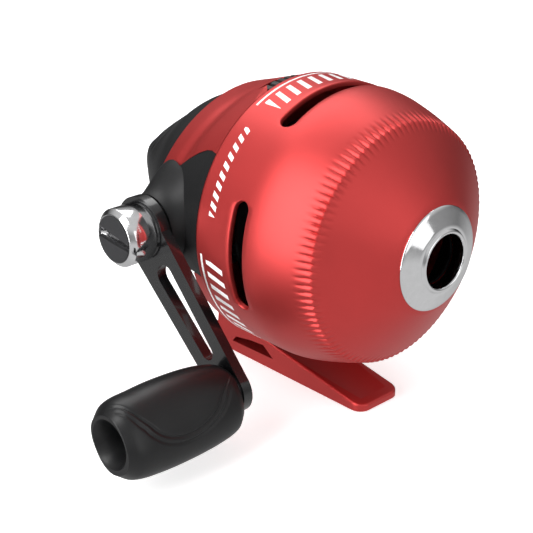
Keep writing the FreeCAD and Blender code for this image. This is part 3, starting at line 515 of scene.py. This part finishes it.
class ReelSizes(bpy.types.PropertyGroup):
    flutes: bpy.props.IntProperty(name="Flutes", description="Grip flutes round the cover", default=104, min=12)
    flute_depth: length_property("Flute depth", "Depth of the grip flutes", 0.00048)
    flute_length: length_property("Flute length", "Length of a flute behind the crest", 0.0048)
    groove_depth: length_property("Groove depth", "Depth of the lines round the knob's thumb panel", 0.0004)
    rib_height: length_property("Rib height", "Height of the thumb ribs on the button", 0.0006)
    edge: length_property("Edge", "Rounding of moulded edges", 0.0003)


class ReelStage(bpy.types.PropertyGroup):
    azimuth: bpy.props.FloatProperty(name="Azimuth", description="Direction that the camera looks from",
                                     default=math.radians(46.722), unit="ROTATION")
    elevation: bpy.props.FloatProperty(name="Elevation", description="Height of the view above the horizon",
                                       default=math.radians(24.172), unit="ROTATION")
    lens: bpy.props.FloatProperty(name="Lens", description="Focal length for a 36 mm sensor", default=91.56,
                                  unit="CAMERA")
    camera_place: bpy.props.FloatVectorProperty(name="Camera", description="Where the camera stands",
                                                default=(0.2238, -0.2218, 0.1692), unit="LENGTH")
    key_power: bpy.props.FloatProperty(name="Key light", description="Power of the large side light",
                                       default=7.5, unit="POWER")
    top_power: bpy.props.FloatProperty(name="Top light", description="Power of the overhead light",
                                       default=2.0, unit="POWER")
    front_power: bpy.props.FloatProperty(name="Front light", description="Power of the light before the nose",
                                         default=1.1, unit="POWER")
    sky: bpy.props.FloatProperty(name="Surroundings", description="Brightness of the studio walls",
                                 default=0.62, min=0.0)


# ------------------------------------------------------------ stage
def aim(thing, place, target):
    thing.location = place
    thing.rotation_euler = (Vector(target) - Vector(place)).to_track_quat("-Z", "Y").to_euler()


def add_light(name, power, width, height, place, target):
    lamp = bpy.data.lights.new(name, "AREA")
    lamp.shape = "RECTANGLE"
    lamp.size, lamp.size_y, lamp.energy = width, height, power
    holder = bpy.data.objects.new(name, lamp)
    bpy.context.scene.collection.objects.link(holder)
    aim(holder, place, target)
    return holder


class REEL_OT_stage(bpy.types.Operator):
    """Sets the camera, the lights, the studio walls and the floor."""

    bl_idname = "reel.stage"
    bl_label = "Stage"

    def execute(self, context):
        stage = context.scene.reel_stage
        a, e = stage.azimuth, stage.elevation
        look = Vector((-math.sin(a) * math.cos(e), math.cos(a) * math.cos(e), -math.sin(e)))
        camera = bpy.data.objects.new("camera", bpy.data.cameras.new("camera"))
        context.scene.collection.objects.link(camera)
        camera.data.lens = stage.lens
        camera.data.sensor_width = 36.0
        camera.data.clip_start = 0.01
        place = Vector(stage.camera_place)
        aim(camera, place, place + look)
        context.scene.camera = camera
        context.scene.view_settings.view_transform = "Standard"
        middle = (0.0, 0.0, AXIS / MM)
        add_light("key", stage.key_power, 0.4, 1.1, (-0.03, -0.66, 0.32), middle)
        add_light("top", stage.top_power, 0.6, 0.4, (-0.3, 0.15, 0.6), middle)
        add_light("front", stage.front_power, 0.7, 0.5, (0.8, 0.05, 0.25), middle)
        world = bpy.data.worlds.new("studio")
        context.scene.world = world
        sky = Recipe(world, "ShaderNodeBackground", "ShaderNodeOutputWorld")
        direction = sky.node("ShaderNodeTexCoord", output="Generated")
        split = sky.tree.nodes.new("ShaderNodeSeparateXYZ")
        sky.join(split.inputs[0], direction)
        # dark at the horizon, bright above and below, so that polished metal has something to show
        ahead, height = Wire(sky, split.outputs[0]), Wire(sky, split.outputs[2])
        wall = sky.maths("SMOOTH_MIN", sky.maths("MAXIMUM", ahead * 0.5 + 0.12, 0.06), 0.5, 0.1)
        over = sky.maths("MINIMUM", sky.maths("MAXIMUM", height * 1.9 - 0.35, 0.0), 0.85)
        under = sky.maths("MINIMUM", sky.maths("MAXIMUM", 0 - height * 2.2 - 0.1, 0.0), 0.75)
        tone = sky.maths("MINIMUM", wall + over + under, 1.0)
        sky.set("Color", sky.blend(tone, (0, 0, 0, 1), (1, 1, 1, 1)))
        sky.set("Strength", stage.sky)
        ground = -AXIS - 0.3
        corners = ((-1, -1), (1, -1), (1, 1), (-1, 1))
        floor = build("floor", [(x * FLOOR_HALF, y * FLOOR_HALF, ground) for x, y in corners], [(0, 1, 2, 3)])
        paper = new_material("paper")
        cloud = paper.noise(1.5, 2.0)
        paper.set("Base Color", paper.blend(cloud, (0.8, 0.8, 0.8, 1), (0.83, 0.83, 0.83, 1)))
        paper.set("Roughness", 0.9)
        paper.set("Emission Color", (1.0, 1.0, 1.0, 1.0))
        paper.set("Emission Strength", 0.62)
        floor.data.materials.append(paper.owner)
        floor.visible_glossy = False
        n = BACKDROP_SIDES
        wall = build("backdrop", [(x, y, z) for z in (ground, BACKDROP_R) for x, y in circle(BACKDROP_R, steps=n)],
                     [(i, (i + 1) % n, n + (i + 1) % n, n + i) for i in range(n)])
        glow = new_material("backdrop_paper")
        glow.set("Base Color", (0.0, 0.0, 0.0, 1.0))
        glow.set("Emission Color", glow.blend(glow.noise(1.5, 2.0), (0.97, 0.97, 0.97, 1), (1.0, 1.0, 1.0, 1)))
        glow.set("Emission Strength", 1.0)
        wall.data.materials.append(glow.owner)
        wall.visible_glossy = wall.visible_diffuse = wall.visible_shadow = False
        return {"FINISHED"}


# ------------------------------------------------------------ cover
def slot_cutter(direction, half_angle):
    """Cutter for a long window whose lip is rounded over."""
    reach = math.radians(half_angle) * COVER_R - SLOT_WIDTH / 2
    rings = []
    for radius, grow in ((COVER_R - 5, 0.0), (COVER_R - 0.5, 0.0), (COVER_R - 0.34, 0.04),
                         (COVER_R - 0.23, 0.13), (COVER_R - 0.15, 0.28), (COVER_R + 1.5, 2.0)):
        half = SLOT_WIDTH / 2 + grow
        bend = [(half * math.sin(t), reach + half * math.cos(t)) for t in steps_between(0, math.pi / 2, 9)]
        outline = [(across, -along) for across, along in bend]
        outline += [(half, along) for along in steps_between(-reach, reach, 42)[1:-1]]
        outline += bend[::-1]
        outline += [(-across, along) for across, along in outline[-2:0:-1]]
        ring = []
        for across, along in outline:
            a = math.radians(direction) + along / COVER_R
            ring.append((SLOT_X + across, -radius * math.cos(a), radius * math.sin(a)))
        rings.append(ring)
    return loft("slot", rings, strips=True)


class REEL_OT_front_cover(bpy.types.Operator):
    """Builds the fluted front cover with its three long windows."""

    bl_idname = "reel.front_cover"
    bl_label = "Front cover"

    def outer_radius(self, x):
        """Radius of the outer surface: straight band, slope, crest, then a cone to the nose."""
        if x <= KNURL_X:
            band = COVER_R - 0.2 * x / SHOULDER_X
            t = max(0.0, (x - SHOULDER_X) / (KNURL_X - SHOULDER_X))
            slope = COVER_R - 0.2 - (COVER_R - 0.2 - KNURL_R) * t + 0.35 * math.sin(math.pi * t)
            return min(band, slope) - 0.12 * math.exp(-((x - SHOULDER_X) / 1.2) ** 2)
        t = (x - KNURL_X) / (COVER_FRONT - KNURL_X)
        return KNURL_R + (NOSE_R - KNURL_R) * t + 0.3 * math.sin(math.pi * t)

    def execute(self, context):
        sizes = context.scene.reel_sizes
        depth, length = sizes.flute_depth * MM, sizes.flute_length * MM
        outer = [0.0, 0.12, 0.35] + steps_between(0.8, KNURL_X - length - 0.2, 16)
        outer += steps_between(KNURL_X - length, KNURL_X - 0.4, 9) + [KNURL_X, KNURL_X + 0.35]
        outer += steps_between(KNURL_X + 0.8, KNURL_X + 2.4, 5) + steps_between(KNURL_X + 3.4, COVER_FRONT, 8)
        front_inner = COVER_FRONT - 1.45
        inner = [(front_inner, NOSE_R - 1.2), (KNURL_X - 0.7, KNURL_R - WALL + 0.1),
                 (SHOULDER_X - 0.2, COVER_R - 0.2 - WALL), (0.3, COVER_R - WALL), (0.0, COVER_R - WALL + 0.2)]
        columns = sizes.flutes * 8
        rings = []
        for i in range(columns):
            a = math.tau * i / columns
            groove = ((1 + math.cos(sizes.flutes * a)) / 2) ** 3
            ring = []
            for x in outer:
                r = self.outer_radius(x) - 0.25 * (1 - ramp(x, -0.05, 0.35))
                behind = ramp(x, KNURL_X - length, KNURL_X - 0.5) ** 1.3
                ahead = 1 - ramp(x, KNURL_X, KNURL_X + 1.5)
                r -= depth * groove * min(behind, ahead)
                ring.append((x, -r * math.cos(a), r * math.sin(a)))
            ring += [(COVER_FRONT, -(NOSE_R - 1.2) * math.cos(a), (NOSE_R - 1.2) * math.sin(a))]
            ring += [(x, -r * math.cos(a), r * math.sin(a)) for x, r in inner]
            rings.append(ring)
        cover = loft("cover_shell", rings, wrap=True)
        combine(cover, "DIFFERENCE", *[slot_cutter(*slot) for slot in SLOTS])
        soften(cover, 0)
        finish_piece(cover, red_finish("cover_red", context.scene.reel_colours, marks=True),
                     "frame", "red_cover", "front_cover")
        return {"FINISHED"}


class REEL_OT_nose_ring(bpy.types.Operator):
    """Builds the polished ring that the line leaves by."""

    bl_idname = "reel.nose_ring"
    bl_label = "Nose ring"

    def execute(self, context):
        back, front = COVER_FRONT, NOSE_HIGH.x
        lip = [(front - 0.5 + 0.5 * math.sin(t), EYE_R + 0.5 - 0.5 * math.cos(t))
               for t in steps_between(-math.pi / 2 + 0.2, math.radians(150), 11)]
        outline = [(back + 0.02, NOSE_R - 0.16), (back + 0.2, NOSE_R - 0.05), (back + 0.36, NOSE_R - 0.1)]
        outline += list(zip(steps_between(back + 0.5, front - 0.62, 7), steps_between(NOSE_R - 0.26, EYE_R + 1.5, 7)))
        outline += [(front - 0.66, EYE_R + 1.25), (front - 0.5, EYE_R + 1.08)]
        outline += lip[::-1] + [(back - 0.4, EYE_R), (back - 1.5, EYE_R + 0.05), (NOSE_LOW.x, EYE_R + 1.5),
                                (NOSE_LOW.x, NOSE_R - 1.3), (back + 0.02, NOSE_R - 1.3)]
        ring = soften(turn_x("nose_eye", outline, 224), 0)
        finish_piece(ring, metal("nose_chrome", context.scene.reel_colours.bright, 0.07, 0.05),
                     "frame", "chrome", "nose_ring")
        return {"FINISHED"}


# ------------------------------------------------------------ rear body
def skin_blank(name):
    """Closed tapered ring that the top shell is cut from, with a soft hollow down each flank."""
    stations = steps_between(-0.05, -27.4, 44)
    rings = []
    for x, wall in [(x, 0) for x in stations] + [(x, WALL) for x in reversed(stations)]:
        r, centre = curve_through(SKIN, x)
        ring = []
        for i in range(240):
            a = math.tau * i / 240
            up = math.degrees(math.asin(math.sin(a)))
            hollow = math.exp(-((x + 17.5 - 0.13 * up) / 2.1) ** 2) * ramp(up, 14, 34) * (1 - ramp(up, 58, 80))
            q = r - wall - (0 if wall else 0.5 * hollow)
            ring.append((x, -q * math.cos(a), centre + q * math.sin(a)))
        rings.append(ring)
    return loft(name, rings, wrap=True)


def seam_cutter(offset=0.0):
    """Everything behind the leaning seam between the shell and the button."""
    low, high = -60, 60
    return prism_y("seam", [(SEAM_X + offset + SEAM_SLOPE * (low - SEAM_Z), low),
                            (SEAM_X + offset + SEAM_SLOPE * (high - SEAM_Z), high), (-90, high), (-90, low)],
                   -60, 60)


def side_cutter(grow):
    """Outline of both side plates, grown a little and drawn through the body and out below it."""
    arch = []
    for z in steps_between(2.5, 19.6, 26):
        arch.append((curve_through([(p[1], p[0]) for p in ARCH if p != (-0.3, 20.0)], z)[0] - grow * 0.8,
                     z + grow * 0.6))
    arch += [(-2.4, 20.05 + grow), (5.0, 20.05 + grow), (5.0, SIDE_FLOOR - 40),
             (SIDE_REAR_X - grow, SIDE_FLOOR - 40)]
    return prism_y("side", arch, -60, 60)


class REEL_OT_top_shell(bpy.types.Operator):
    """Builds the red top shell with its scooped window for the drag dial."""

    bl_idname = "reel.top_shell"
    bl_label = "Top shell"

    def execute(self, context):
        shell = skin_blank("top_shell_skin")
        scoop = loft("scoop", [[(hx * math.cos(t), hy * math.sin(t), z)
                                for t in (math.tau * i / 96 for i in range(96))]
                               for hx, hy, z in SCOOP])
        relief = prism_x("relief", [(y, z + DIAL_Z) for y, z in circle(DIAL_RELIEF_R, steps=160)],
                         DIAL_LOW.x - 0.4, 1)
        floor = block("below", (-60, -60, -60), (20, 60, SIDE_FLOOR))
        combine(shell, "DIFFERENCE", relief, seam_cutter(), floor, side_cutter(0.12), scoop)
        soften(shell, context.scene.reel_sizes.edge * MM, 3)
        finish_piece(shell, red_finish("shell_red", context.scene.reel_colours), "frame", "red_body", "top_shell")
        return {"FINISHED"}


class REEL_OT_thumb_button(bpy.types.Operator):
    """Builds the domed thumb button with its ribs."""

    bl_idname = "reel.thumb_button"
    bl_label = "Thumb button"

    def ring(self, x, inset, ribs):
        top, bottom, half = curve_through(BUTTON, x)
        middle, rise = (top + bottom) / 2, (top - bottom) / 2 - inset
        points = []
        for i in range(160):
            a = math.tau * i / 160
            lift = -(ribs + 0.8 * ramp(-x, 27, 35) * ramp(x, -49.2, -45.5)) * ramp(math.sin(a), 0.3, 0.75)
            points.append((x, (half - inset + lift) * math.cos(a), middle + (rise + lift) * math.sin(a)))
        return points

    def execute(self, context):
        sizes = context.scene.reel_sizes
        rear = BUTTON_LOW.x + 0.2
        outer = []
        for x in steps_between(-17.0, rear, 110):
            ribs = (0.5 - 0.5 * math.cos(math.tau * (x + 36.2) / 3.4)) ** 2
            ribs *= ramp(-x, 36.0, 36.6) * ramp(x, -47.0, -46.2)
            outer.append(self.ring(x, 0.0, sizes.rib_height * MM * ribs))
        outer += [self.ring(rear - 0.12, 1.2, 0), self.ring(rear - 0.18, 2.2, 0)]
        dome = loft("button_dome", outer)
        inner = loft("hollow", [self.ring(x, BUTTON_WALL, 0) for x in steps_between(-16.5, -46.8, 40)])
        combine(dome, "DIFFERENCE", inner, block("below", (-60, -60, -60), (20, 60, BUTTON_FLOOR)),
                self.front_cutter(), block("crank_notch", (-24.8, -40, -6.5), (0, -20, 7.0)))
        soften(dome, 0.25, 2)
        finish_piece(dome, dark_plastic("button_black", context.scene.reel_colours.black, 0.4, 0.3),
                     "button", "button_black", "thumb_button")
        return {"FINISHED"}

    def front_cutter(self):
        lap, low, high = 1.0, -60, 60
        return prism_y("front", [(SEAM_X + lap + SEAM_SLOPE * (low - SEAM_Z), low),
                                 (SEAM_X + lap + SEAM_SLOPE * (high - SEAM_Z), high), (20, high), (20, low)], -60, 60)


class REEL_OT_drag_dial(bpy.types.Operator):
    """Builds the toothed drag dial."""

    bl_idname = "reel.drag_dial"
    bl_label = "Drag dial"

    def execute(self, context):
        radius = DIAL_HIGH.z - DIAL_Z
        outline = []
        for i in range(DIAL_TEETH):
            for share, r in ((0.02, radius - 1.1), (0.22, radius), (0.78, radius), (0.98, radius - 1.1)):
                a = DIAL_HALF * (2 * (i + share) / DIAL_TEETH - 1)
                outline.append((r * math.sin(a), DIAL_Z + r * math.cos(a)))
        outline += [((radius - 3.4) * math.sin(a), DIAL_Z + (radius - 3.4) * math.cos(a))
                    for a in steps_between(DIAL_HALF, -DIAL_HALF, 24)]
        rim = prism_x("dial_rim", outline, DIAL_LOW.x, DIAL_HIGH.x)
        fan = [((radius - 3.2) * math.sin(a), DIAL_Z + (radius - 3.2) * math.cos(a))
               for a in steps_between(DIAL_HALF, -DIAL_HALF, 24)]
        web = prism_x("web", [(0, DIAL_Z)] + fan, DIAL_WEB_BACK, DIAL_HIGH.x - 0.3)
        hub = prism_x("hub", [(y, z + DIAL_Z) for y, z in circle(DIAL_HUB_R)], DIAL_WEB_BACK, DIAL_HIGH.x)
        combine(rim, "UNION", web, hub)
        soften(rim, 0.2, 2)
        finish_piece(rim, dark_plastic("dial_grey", scaled(context.scene.reel_colours.black, 2.6), 0.4, 0.2),
                     "dial", "dial_grey", "drag_dial")
        return {"FINISHED"}


# ------------------------------------------------------------ crank
def on_arm(along, across):
    """Point of the arm's plane, along it from the crank axis and across it."""
    c, s = math.cos(ARM_ANGLE), math.sin(ARM_ANGLE)
    return CRANK_X + along * c - across * s, along * s + across * c


def bar_outline(r0, r1, start, end):
    """Tapered outline with round ends."""
    lean = math.asin((r0 - r1) / (end - start))
    quarter = math.pi / 2
    near = [(start - r0 * math.sin(t), r0 * math.cos(t)) for t in steps_between(-lean, math.pi + lean, 40)]
    far = [(end + r1 * math.cos(t), r1 * math.sin(t)) for t in steps_between(-quarter + lean, quarter - lean, 32)]
    return [on_arm(*p) for p in near + far]


class REEL_OT_crank_arm(bpy.types.Operator):
    """Builds the slotted crank arm."""

    bl_idname = "reel.crank_arm"
    bl_label = "Crank arm"

    def execute(self, context):
        arm = prism_y("arm_plate", bar_outline(ARM_NECK_R, ARM_END_R, 0, ARM_THROW), ARM_FRONT, ARM_BACK)
        combine(arm, "UNION", prism_y("hub", circle(ARM_HUB_R, CRANK_X, 0), ARM_FRONT, ARM_BACK))
        combine(arm, "DIFFERENCE",
                prism_y("slot", bar_outline(*ARM_SLOT), ARM_FRONT - 1, ARM_BACK + 1),
                prism_y("rivet_hole", circle(2.0, KNOB_X, KNOB_Z), ARM_FRONT - 1, ARM_BACK + 1),
                prism_y("shaft_hole", circle(2.4, CRANK_X, 0), ARM_FRONT - 1, ARM_BACK + 1))
        soften(arm, 0.3, 2)
        finish_piece(arm, gloss_black("arm_black", context.scene.reel_colours.arm), "crank", "arm_black", "crank_arm")
        return {"FINISHED"}


class REEL_OT_crank_nut(bpy.types.Operator):
    """Builds the polished crank nut and its dark slotted face."""

    bl_idname = "reel.crank_nut"
    bl_label = "Crank nut"

    def execute(self, context):
        colours = context.scene.reel_colours
        base, end = NUT_HIGH.y, NUT_LOW.y
        seat = end + 0.95
        outline = [(base, 1.9), (base, 6.7), (base - 0.15, 6.8), (base - 0.55, 6.8), (base - 0.6, 7.0),
                   (base - 0.8, 7.2), (end + 1.35, 7.2), (end + 1.2, 7.17), (end + 1.05, 7.08),
                   (end + 0.16, 6.2), (end + 0.05, 6.08), (end, 5.95), (end + 0.04, 5.84), (end + 0.16, 5.8),
                   (seat, 5.8), (seat, 0.4), (end + 3.5, 0.4), (end + 3.5, 1.9)]
        nut = turn_y("nut_body", outline, CRANK_X, 0, 160)
        combine(nut, "DIFFERENCE", self.slot([(-7, 1.5), (7, 0.75)], seat - 0.3, seat + 1.3, 0.04))
        soften(nut, 0)
        finish_piece(nut, metal("nut_chrome", colours.bright, 0.1, 0.06), "crank", "chrome", "crank_nut")
        disc = prism_y("nut_cap", circle(5.75, CRANK_X, 0), INSERT_LOW.y, seat)
        combine(disc, "DIFFERENCE", self.slot([(-9, 1.6), (9, 0.65)], INSERT_LOW.y - 1, seat + 1, 1.0))
        soften(disc, 0.15, 2)
        finish_piece(disc, nut_face("nut_face", (0.03, 0.03, 0.032)), "crank", "nut_face", "nut_insert")
        return {"FINISHED"}

    def slot(self, ends, front, deep, taper):
        """Wedge-shaped cutter along the face; taper is its share of width at the deep end."""
        tilt = math.radians(-8)
        (x0, h0), (x1, h1) = ends
        rings = []
        for y, share in ((front, 1.0), (deep, taper)):
            corners = ((x0, -h0 * share), (x1, -h1 * share), (x1, h1 * share), (x0, h0 * share))
            rings.append([(CRANK_X + x * math.cos(tilt) - z * math.sin(tilt), y,
                           x * math.sin(tilt) + z * math.cos(tilt)) for x, z in corners])
        return loft("coin_slot", rings)


class REEL_OT_knob(bpy.types.Operator):
    """Builds the rubber paddle knob with its grooved thumb panel."""

    bl_idname = "reel.knob"
    bl_label = "Knob"

    def execute(self, context):
        groove = context.scene.reel_sizes.groove_depth * MM
        inner, outer = KNOB_HIGH.y, KNOB_LOW.y
        rows = ((inner, 5.8, 7.4, 5.4, 5.2), (inner - 2, 7.4, 9.2, 6.2, 6.0), (inner - 8, 8.9, 10.2, 6.9, 6.8),
                (inner - 17, 9.6, 10.5, 7.2, 7.3), (inner - 25, 9.5, 10.2, 7.5, 7.5),
                (outer + 3, 9.0, 9.3, 7.6, 7.4), (outer, 6.8, 7.2, 6.3, 6.2))
        broad = (math.cos(KNOB_TILT), math.sin(KNOB_TILT))
        power = 2.3
        rings = []
        for y in steps_between(inner, outer, 150):
            up, down, front, back = curve_through(rows, y)
            along = (y - outer) / (inner - outer)
            edge = self.panel_edge(along)
            slope = math.radians(self.panel_edge(along + 0.01) - edge) * 8.5 / (0.01 * (inner - outer))
            ring = []
            for i in range(256):
                t = math.tau * i / 256
                c, s = math.cos(t), math.sin(t)
                u = (down if c > 0 else up) * math.copysign(abs(c) ** (2 / power), c)
                v = (front if s > 0 else back) * math.copysign(abs(s) ** (2 / power), s)
                away = (math.degrees(t) - edge) * math.radians(1) * 8.5 / math.hypot(1.0, slope)
                dent = groove * (math.exp(-(away / 0.28) ** 2) + 0.8 * math.exp(-((away + 1.25) / 0.28) ** 2))
                dent *= ramp(along, 0.03, 0.07) * (1 - ramp(along, 0.95, 0.99))
                shrink = 1 - dent / 8.0
                ring.append((KNOB_X + (broad[0] * u - broad[1] * v) * shrink, y,
                             KNOB_Z + (broad[1] * u + broad[0] * v) * shrink))
            rings.append(ring)
        grip = loft("grip", rings)
        mouth = turn_y_solid("mouth", [(outer - 1, 6.3), (outer + 0.4, 5.75), (outer + 3.0, 3.9), (outer + 7.9, 3.9)])
        bore = prism_y("bore", circle(2.05, KNOB_X, KNOB_Z), outer - 1, inner + 1)
        head_room = prism_y("head_room", circle(3.5, KNOB_X, KNOB_Z), outer - 1, outer + 9.25)
        combine(grip, "DIFFERENCE", mouth, bore, head_room)
        soften(grip, 0.35, 3, 40)
        finish_piece(grip, grip_rubber("grip_rubber", context.scene.reel_colours.rubber),
                     "grip", "knob_rubber", "knob")
        return {"FINISHED"}

    def panel_edge(self, along):
        """Angle in degrees of the thumb panel's edge, at a share of the knob's length from its outer end."""
        return curve_through(PANEL, along)[0]


def turn_y_solid(name, outline):
    """Solid of revolution about the knob's axis, from (y, radius) rows."""
    return loft(name, [[(x, y, z) for x, z in circle(r, KNOB_X, KNOB_Z, 96)] for y, r in outline])


# ------------------------------------------------------------ pieces kept from the frame
class REEL_OT_frame_materials(bpy.types.Operator):
    """Gives every piece that keeps its CAD shape a material of its own."""

    bl_idname = "reel.frame_materials"
    bl_label = "Frame materials"

    def execute(self, context):
        colours = context.scene.reel_colours
        made = {
            "red_body": red_finish("foot_red", colours),
            "red_cover": red_finish("plain_red", colours),
            "chrome": metal("chrome", colours.bright, 0.08, 0.05),
            "steel": metal("steel", colours.steel, 0.22, 0.16, (1.0, 6.0, 6.0)),
            "brass": metal("brass", (0.62, 0.45, 0.2), 0.24, 0.12),
            "zinc_gear": metal("zinc", (0.5, 0.5, 0.51), 0.34, 0.16),
            "inner_rubber": dark_plastic("inner_rubber", (0.012, 0.012, 0.013), 0.55, 0.2),
            "black_plastic": dark_plastic("moulded_black", colours.black),
            "button_black": dark_plastic("moulded_button", colours.black),
            "dial_grey": dark_plastic("moulded_dial", (0.05, 0.05, 0.055)),
            "spool_plastic": dark_plastic("spool_black", (0.016, 0.016, 0.017), 0.38, 0.15),
            "spinner_dark": metal("spinner_dark", (0.05, 0.05, 0.052), 0.4, 0.1),
            "bush_plastic": dark_plastic("acetal", (0.5, 0.48, 0.43), 0.4, 0.1),
            "arm_black": gloss_black("moulded_arm", colours.arm),
            "nut_face": nut_face("plain_nut_face", (0.05, 0.05, 0.052)),
            "knob_rubber": grip_rubber("plain_rubber", colours.rubber),
        }
        for row in frame["record"]["subparts"]:
            node = frame["nodes"][row["node"]]
            node.data.materials.clear()
            # painted shade: the steel knob rivet is given the dark spinner metal so that it looks as dark as the
            # shade it sits in
            finish = "spinner_dark" if row["node"] == "knob_rivet" else row["material_slot"]
            node.data.materials.append(made[finish])
        return {"FINISHED"}


class REEL_PT_panel(bpy.types.Panel):
    """Lists the reel's pieces and settings."""

    bl_idname = "REEL_PT_panel"
    bl_label = "Spincast reel"
    bl_space_type = "VIEW_3D"
    bl_region_type = "UI"
    bl_category = "Reel"

    def draw(self, context):
        for operator in OPERATORS:
            self.layout.operator(operator.bl_idname)
        for group in (context.scene.reel_sizes, context.scene.reel_colours, context.scene.reel_stage):
            for name in group.__annotations__:
                self.layout.prop(group, name)


GROUPS = {"reel_colours": ReelColours, "reel_sizes": ReelSizes, "reel_stage": ReelStage}
OPERATORS = (REEL_OT_stage, REEL_OT_frame_materials, REEL_OT_front_cover, REEL_OT_nose_ring, REEL_OT_top_shell,
             REEL_OT_thumb_button, REEL_OT_drag_dial, REEL_OT_crank_arm,
             REEL_OT_crank_nut, REEL_OT_knob)


def register():
    for name, group in GROUPS.items():
        bpy.utils.register_class(group)
        setattr(bpy.types.Scene, name, bpy.props.PointerProperty(type=group))
    for item in (*OPERATORS, REEL_PT_panel):
        bpy.utils.register_class(item)


def unregister():
    for item in (REEL_PT_panel, *reversed(OPERATORS)):
        bpy.utils.unregister_class(item)
    for name, group in GROUPS.items():
        delattr(bpy.types.Scene, name)
        bpy.utils.unregister_class(group)


def main():
    """Builds everything in order."""
    register()
    for operator in OPERATORS:
        getattr(bpy.ops.reel, operator.bl_idname.split(".")[1])()


if __name__ == "__main__":
    main()
